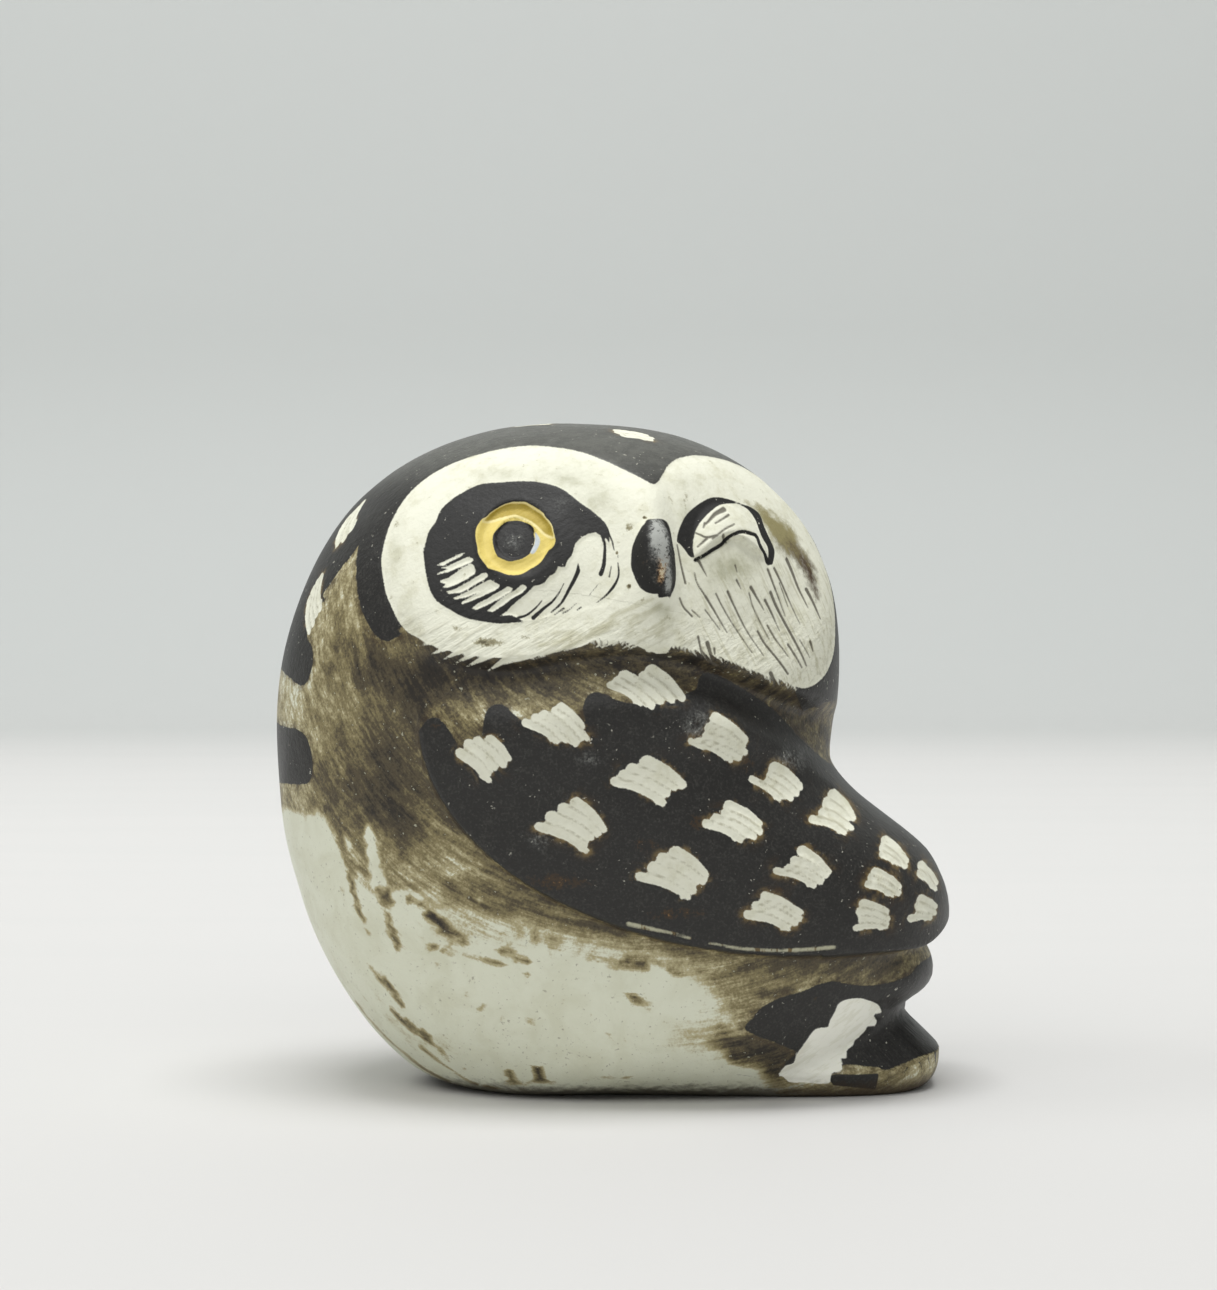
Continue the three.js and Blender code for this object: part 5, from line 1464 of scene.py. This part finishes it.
# painted sheen: the black turns grey towards the top of the crown, where the lamp overhead catches it
crown = z.between(65.0, 71.5) * (0.36 + 0.18 * tear.between(0.40, 0.62))
black = ware.mix(crown * (1 - on_mask), black, CROWN_SHEEN)
haze = paint_of["pull"].between(-1.6, 0.0) * cloud.between(0.47, 0.58) * drag.between(0.42, 0.60)
black = ware.mix(haze * 0.6, black, SMEAR_DARK)
smear = paint_of["pull"].between(-0.75, 0.05) * cloud.between(0.46, 0.56) * tear.between(0.42, 0.60)
black = ware.mix(smear * 0.8, black, SMEAR)
holes = (fleck * 0.55 + grain * 0.45).between(0.640, 0.675) * cloud.between(0.50, 0.58)
black = ware.mix(holes * 0.8, black, PIN_HOLE)
warm = paint_of["warm"] * (1 + swing(tear, 0.7) + swing(grain, 0.4))
black = laid(black, warm, WARM_STEPS)
# painted highlights laid over the black
painted_highlight = paint_of["painted_highlight"] * (1 + swing(tear, 0.9) + swing(grain, 0.7))
black = ware.mix(painted_highlight.between(0.05, 1.0), black, HIGHLIGHT_GREY)
halo = paint_of["pull"].between(-0.16, -0.02) * cloud.between(0.44, 0.56) * ink
colour = ware.mix(halo * 0.45, ware.mix(ink, colour, black), SMEAR)
print("nodes under the whites:", len(ware.tree.nodes))

# %% [markdown]
# The whites are bare clay under a thin clear glaze, rubbed grey in places, and greyed in soft heaps as
# painted shade under the shut lid, at the brow, beside the beak and along the mask's edges. Between two pulls
# of the tool the ridge is drawn as a faint grey line, painted shade of the grooves. The patch round the open
# eye is the slip that was left standing.

# %% Whites, eye and lines
CLAY_WHITE, BAR_PAINTED_LIGHT, SHADED_WHITE = tone(233, 233, 215), tone(252, 252, 240), tone(168, 168, 142)
RUBBED, CHIN_GREY = tone(204, 202, 174), tone(180, 177, 146)
RIDGE, MARK = tone(150, 144, 114), tone(92, 84, 62)
CORN, PALE_CORN, OLD_GOLD = tone(228, 208, 118), tone(240, 226, 160), tone(176, 154, 58)
GLINT_GREY, HAIR_BROWN = tone(196, 204, 208), tone(74, 68, 56)
SHADE_OLIVE, SHADE_BROWN = tone(146, 138, 96), tone(78, 62, 44)
SMUDGE_STEPS = [(0.2, 0.65, RIDGE), (0.62, 0.95, MARK)]
BAR_PAINTED_LIGHT_TOP = (14.0, 12.0)

combed = ware.noise(ware.along(here, -30, (7, 2, 1)), 1.5, 4, 0.62)
pulled = ware.noise(ware.along(here, 33, (6, 2, 1)), 2.2, 3, 0.6)
white = ware.mix((cloud * 0.5 + tear * 0.5).between(0.47, 0.66) * 0.5, CLAY_WHITE, RUBBED)
chin = z.between(54.5, 50.5) * paint_of["mask"].between(-0.5, 0.5)
# the chin's combing: brushed grey streaks, their valleys also greyed as painted shade beside a bump of the
# same noise
white = ware.mix(combed.between(0.50, 0.66) * (0.05 + 0.24 * chin), white, RIDGE)
smudge = paint_of["smudge"] + swing(tear, 0.45) + swing(grain, 0.2)
white = laid(white, smudge * paint_of["smudge"].between(0.02, 0.3), SMUDGE_STEPS)
white = ware.mix((paint_of["soft"] + swing(combed, 0.25)).between(-0.3, 0.2) * 0.6, white, CHIN_GREY)
white = ware.mix((fleck * 0.4 + tear * 0.6).between(0.61, 0.70) * 0.5, white, RIDGE)
# painted shade: the whites are greyed in soft heaps
painted_shade = paint_of["painted_shade"] * (1 + swing(cloud, 0.5) + swing(tear, 0.3))
white = ware.mix(painted_shade.between(0.0, 1.0), white, SHADED_WHITE)
# the ridge between two pulls: a faint grey line, painted shade of the grooves beside it
white = ware.mix((paint_of["ridge"] + swing(pulled, 0.12)).between(-0.14, 0.12) * 0.55, white, RIDGE)
patch_edge = paint_of["mask"] + fine_ragged + swing(combed, 0.25) * chin
colour = ware.mix(patch_edge.between(-0.07, 0.07), colour, black)
# painted light: low on the body, where the tail bar lies in the wing's shade, the whites are painted brighter
bar_painted_light = ware.mix(combed.between(0.50, 0.62) * 0.25, BAR_PAINTED_LIGHT, RUBBED)
white = ware.mix(z.between(*BAR_PAINTED_LIGHT_TOP), white, bar_painted_light)
colour = ware.mix((paint_of["bare"] + fine_ragged).between(-0.07, 0.08), colour, white)
torn_spot = (paint_of["pull"] + swing(pulled, 0.08) + fine_ragged - 0.02).between(-0.06, 0.07)
colour = ware.mix(torn_spot, colour, white)
shade = ware.mix((z + swing(tear, 2.0)).between(62.0, 58.0), SHADE_OLIVE, SHADE_BROWN)
colour = ware.mix((paint_of["shade"] + swing(tear, 0.8)).between(-0.8, 0.9), colour, shade)
disc = ware.noise(ware.along(here, 62, (12, 2, 1)), 2.4, 3, 0.6)
hair = disc.between(0.50, 0.66) * paint_of["disc"] * 0.5
colour = ware.mix(hair * (1 - paint_of["line"].between(-0.3, 0.0)), colour, CHIN_GREY)
hair = (paint_of["hairs"] + fine_ragged * 0.4).between(-0.10, 0.08)
colour = ware.mix(hair * 0.85, colour, HAIR_BROWN)
colour = ware.mix((paint_of["line"] + fine_ragged * 0.5).between(-0.06, 0.07), colour, black)
worn = (paint_of["worn"] + fine_ragged + swing(drag, 0.06)).between(-0.16, 0.10) * 0.8
ticks = ware.noise(ware.along(here, 90, (5, 1, 1)), 1.6, 2).between(0.54, 0.64)
colour = ware.mix(worn, colour, ware.mix(ticks, RUBBED, SMEAR))
# painted shade: the iris is darker gold on its upper wall, with a pale line along the band's lower edge
band = paint_of["band"] + ragged * 0.4
corn = ware.mix(combed.between(0.4, 0.65) * 0.3, CORN, OLD_GOLD)
corn = ware.mix(band.between(-0.35, -0.15), corn, PALE_CORN)
gold = ware.mix(combed.between(0.45, 0.65) * 0.25, OLD_GOLD, CORN)
corn = ware.mix(band.between(-0.08, 0.12), corn, gold)
colour = ware.mix((paint_of["yolk"] + fine_ragged * 0.5).between(-0.06, 0.06), colour, corn)
colour = ware.mix((paint_of["glint"] + fine_ragged * 0.3).between(-0.06, 0.12), colour, GLINT_GREY)
# darker towards the foot: the unglazed foot is stained brown, and painted darker still as painted shade of
# the gap under the belly
foot = (z + swing(tear, 0.8)).between(2.3, 0.5)
colour = ware.mix(foot * 0.85, colour, SMEAR_DARK)
ware.feed(ware.shader.inputs["Base Color"], colour)
print("nodes of the colour:", len(ware.tree.nodes))

# %% [markdown]
# The glaze is satin: tight enough to catch the lamp on the crown, broken by grain. The bare whites are
# drier. Tiny pits and brush lines are left to a bump, as they are far below a tenth of a millimetre.

# %% Sheen and pits
SATIN, SCRAPED_DRIER, MASK_DRIER, GLAZE_IOR = 0.42, 0.16, 0.14, 1.42
PIT_HEIGHTS = [(grain, 0.035), (fleck, 0.05), (tear, 0.09), (drag, 0.05)]
SLIP_HEIGHT, COMB_HEIGHT, CHIN_COMB_HEIGHT, PIT_STRENGTH = 0.03, 0.05, 0.30, 0.8

dry = (paint_of["bare"].most(paint_of["pull"]) + fine_ragged).between(-0.05, 0.1)
rough = SATIN + dry * SCRAPED_DRIER + MASK_DRIER * on_mask + swing(grain, 0.05) + swing(cloud, 0.03)
ware.feed(ware.shader.inputs["Roughness"], rough)
pits = ink * SLIP_HEIGHT + (combed - 0.5) * (COMB_HEIGHT + CHIN_COMB_HEIGHT * chin)
for noise, height in PIT_HEIGHTS:
    pits = pits + (noise - 0.5) * height
pitted = {"Strength": PIT_STRENGTH, "Distance": MILLIMETRE, "Height": pits}
ware.feed(ware.shader.inputs["Normal"], ware.node("ShaderNodeBump", {}, pitted)[0])
ware.shader.inputs["IOR"].default_value = GLAZE_IOR
owl_mesh.materials.append(ware.material)
print("nodes in the finish:", len(ware.tree.nodes))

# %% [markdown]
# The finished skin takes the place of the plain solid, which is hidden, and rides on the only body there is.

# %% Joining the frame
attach(glazed_owl, "root")
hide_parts("owl")
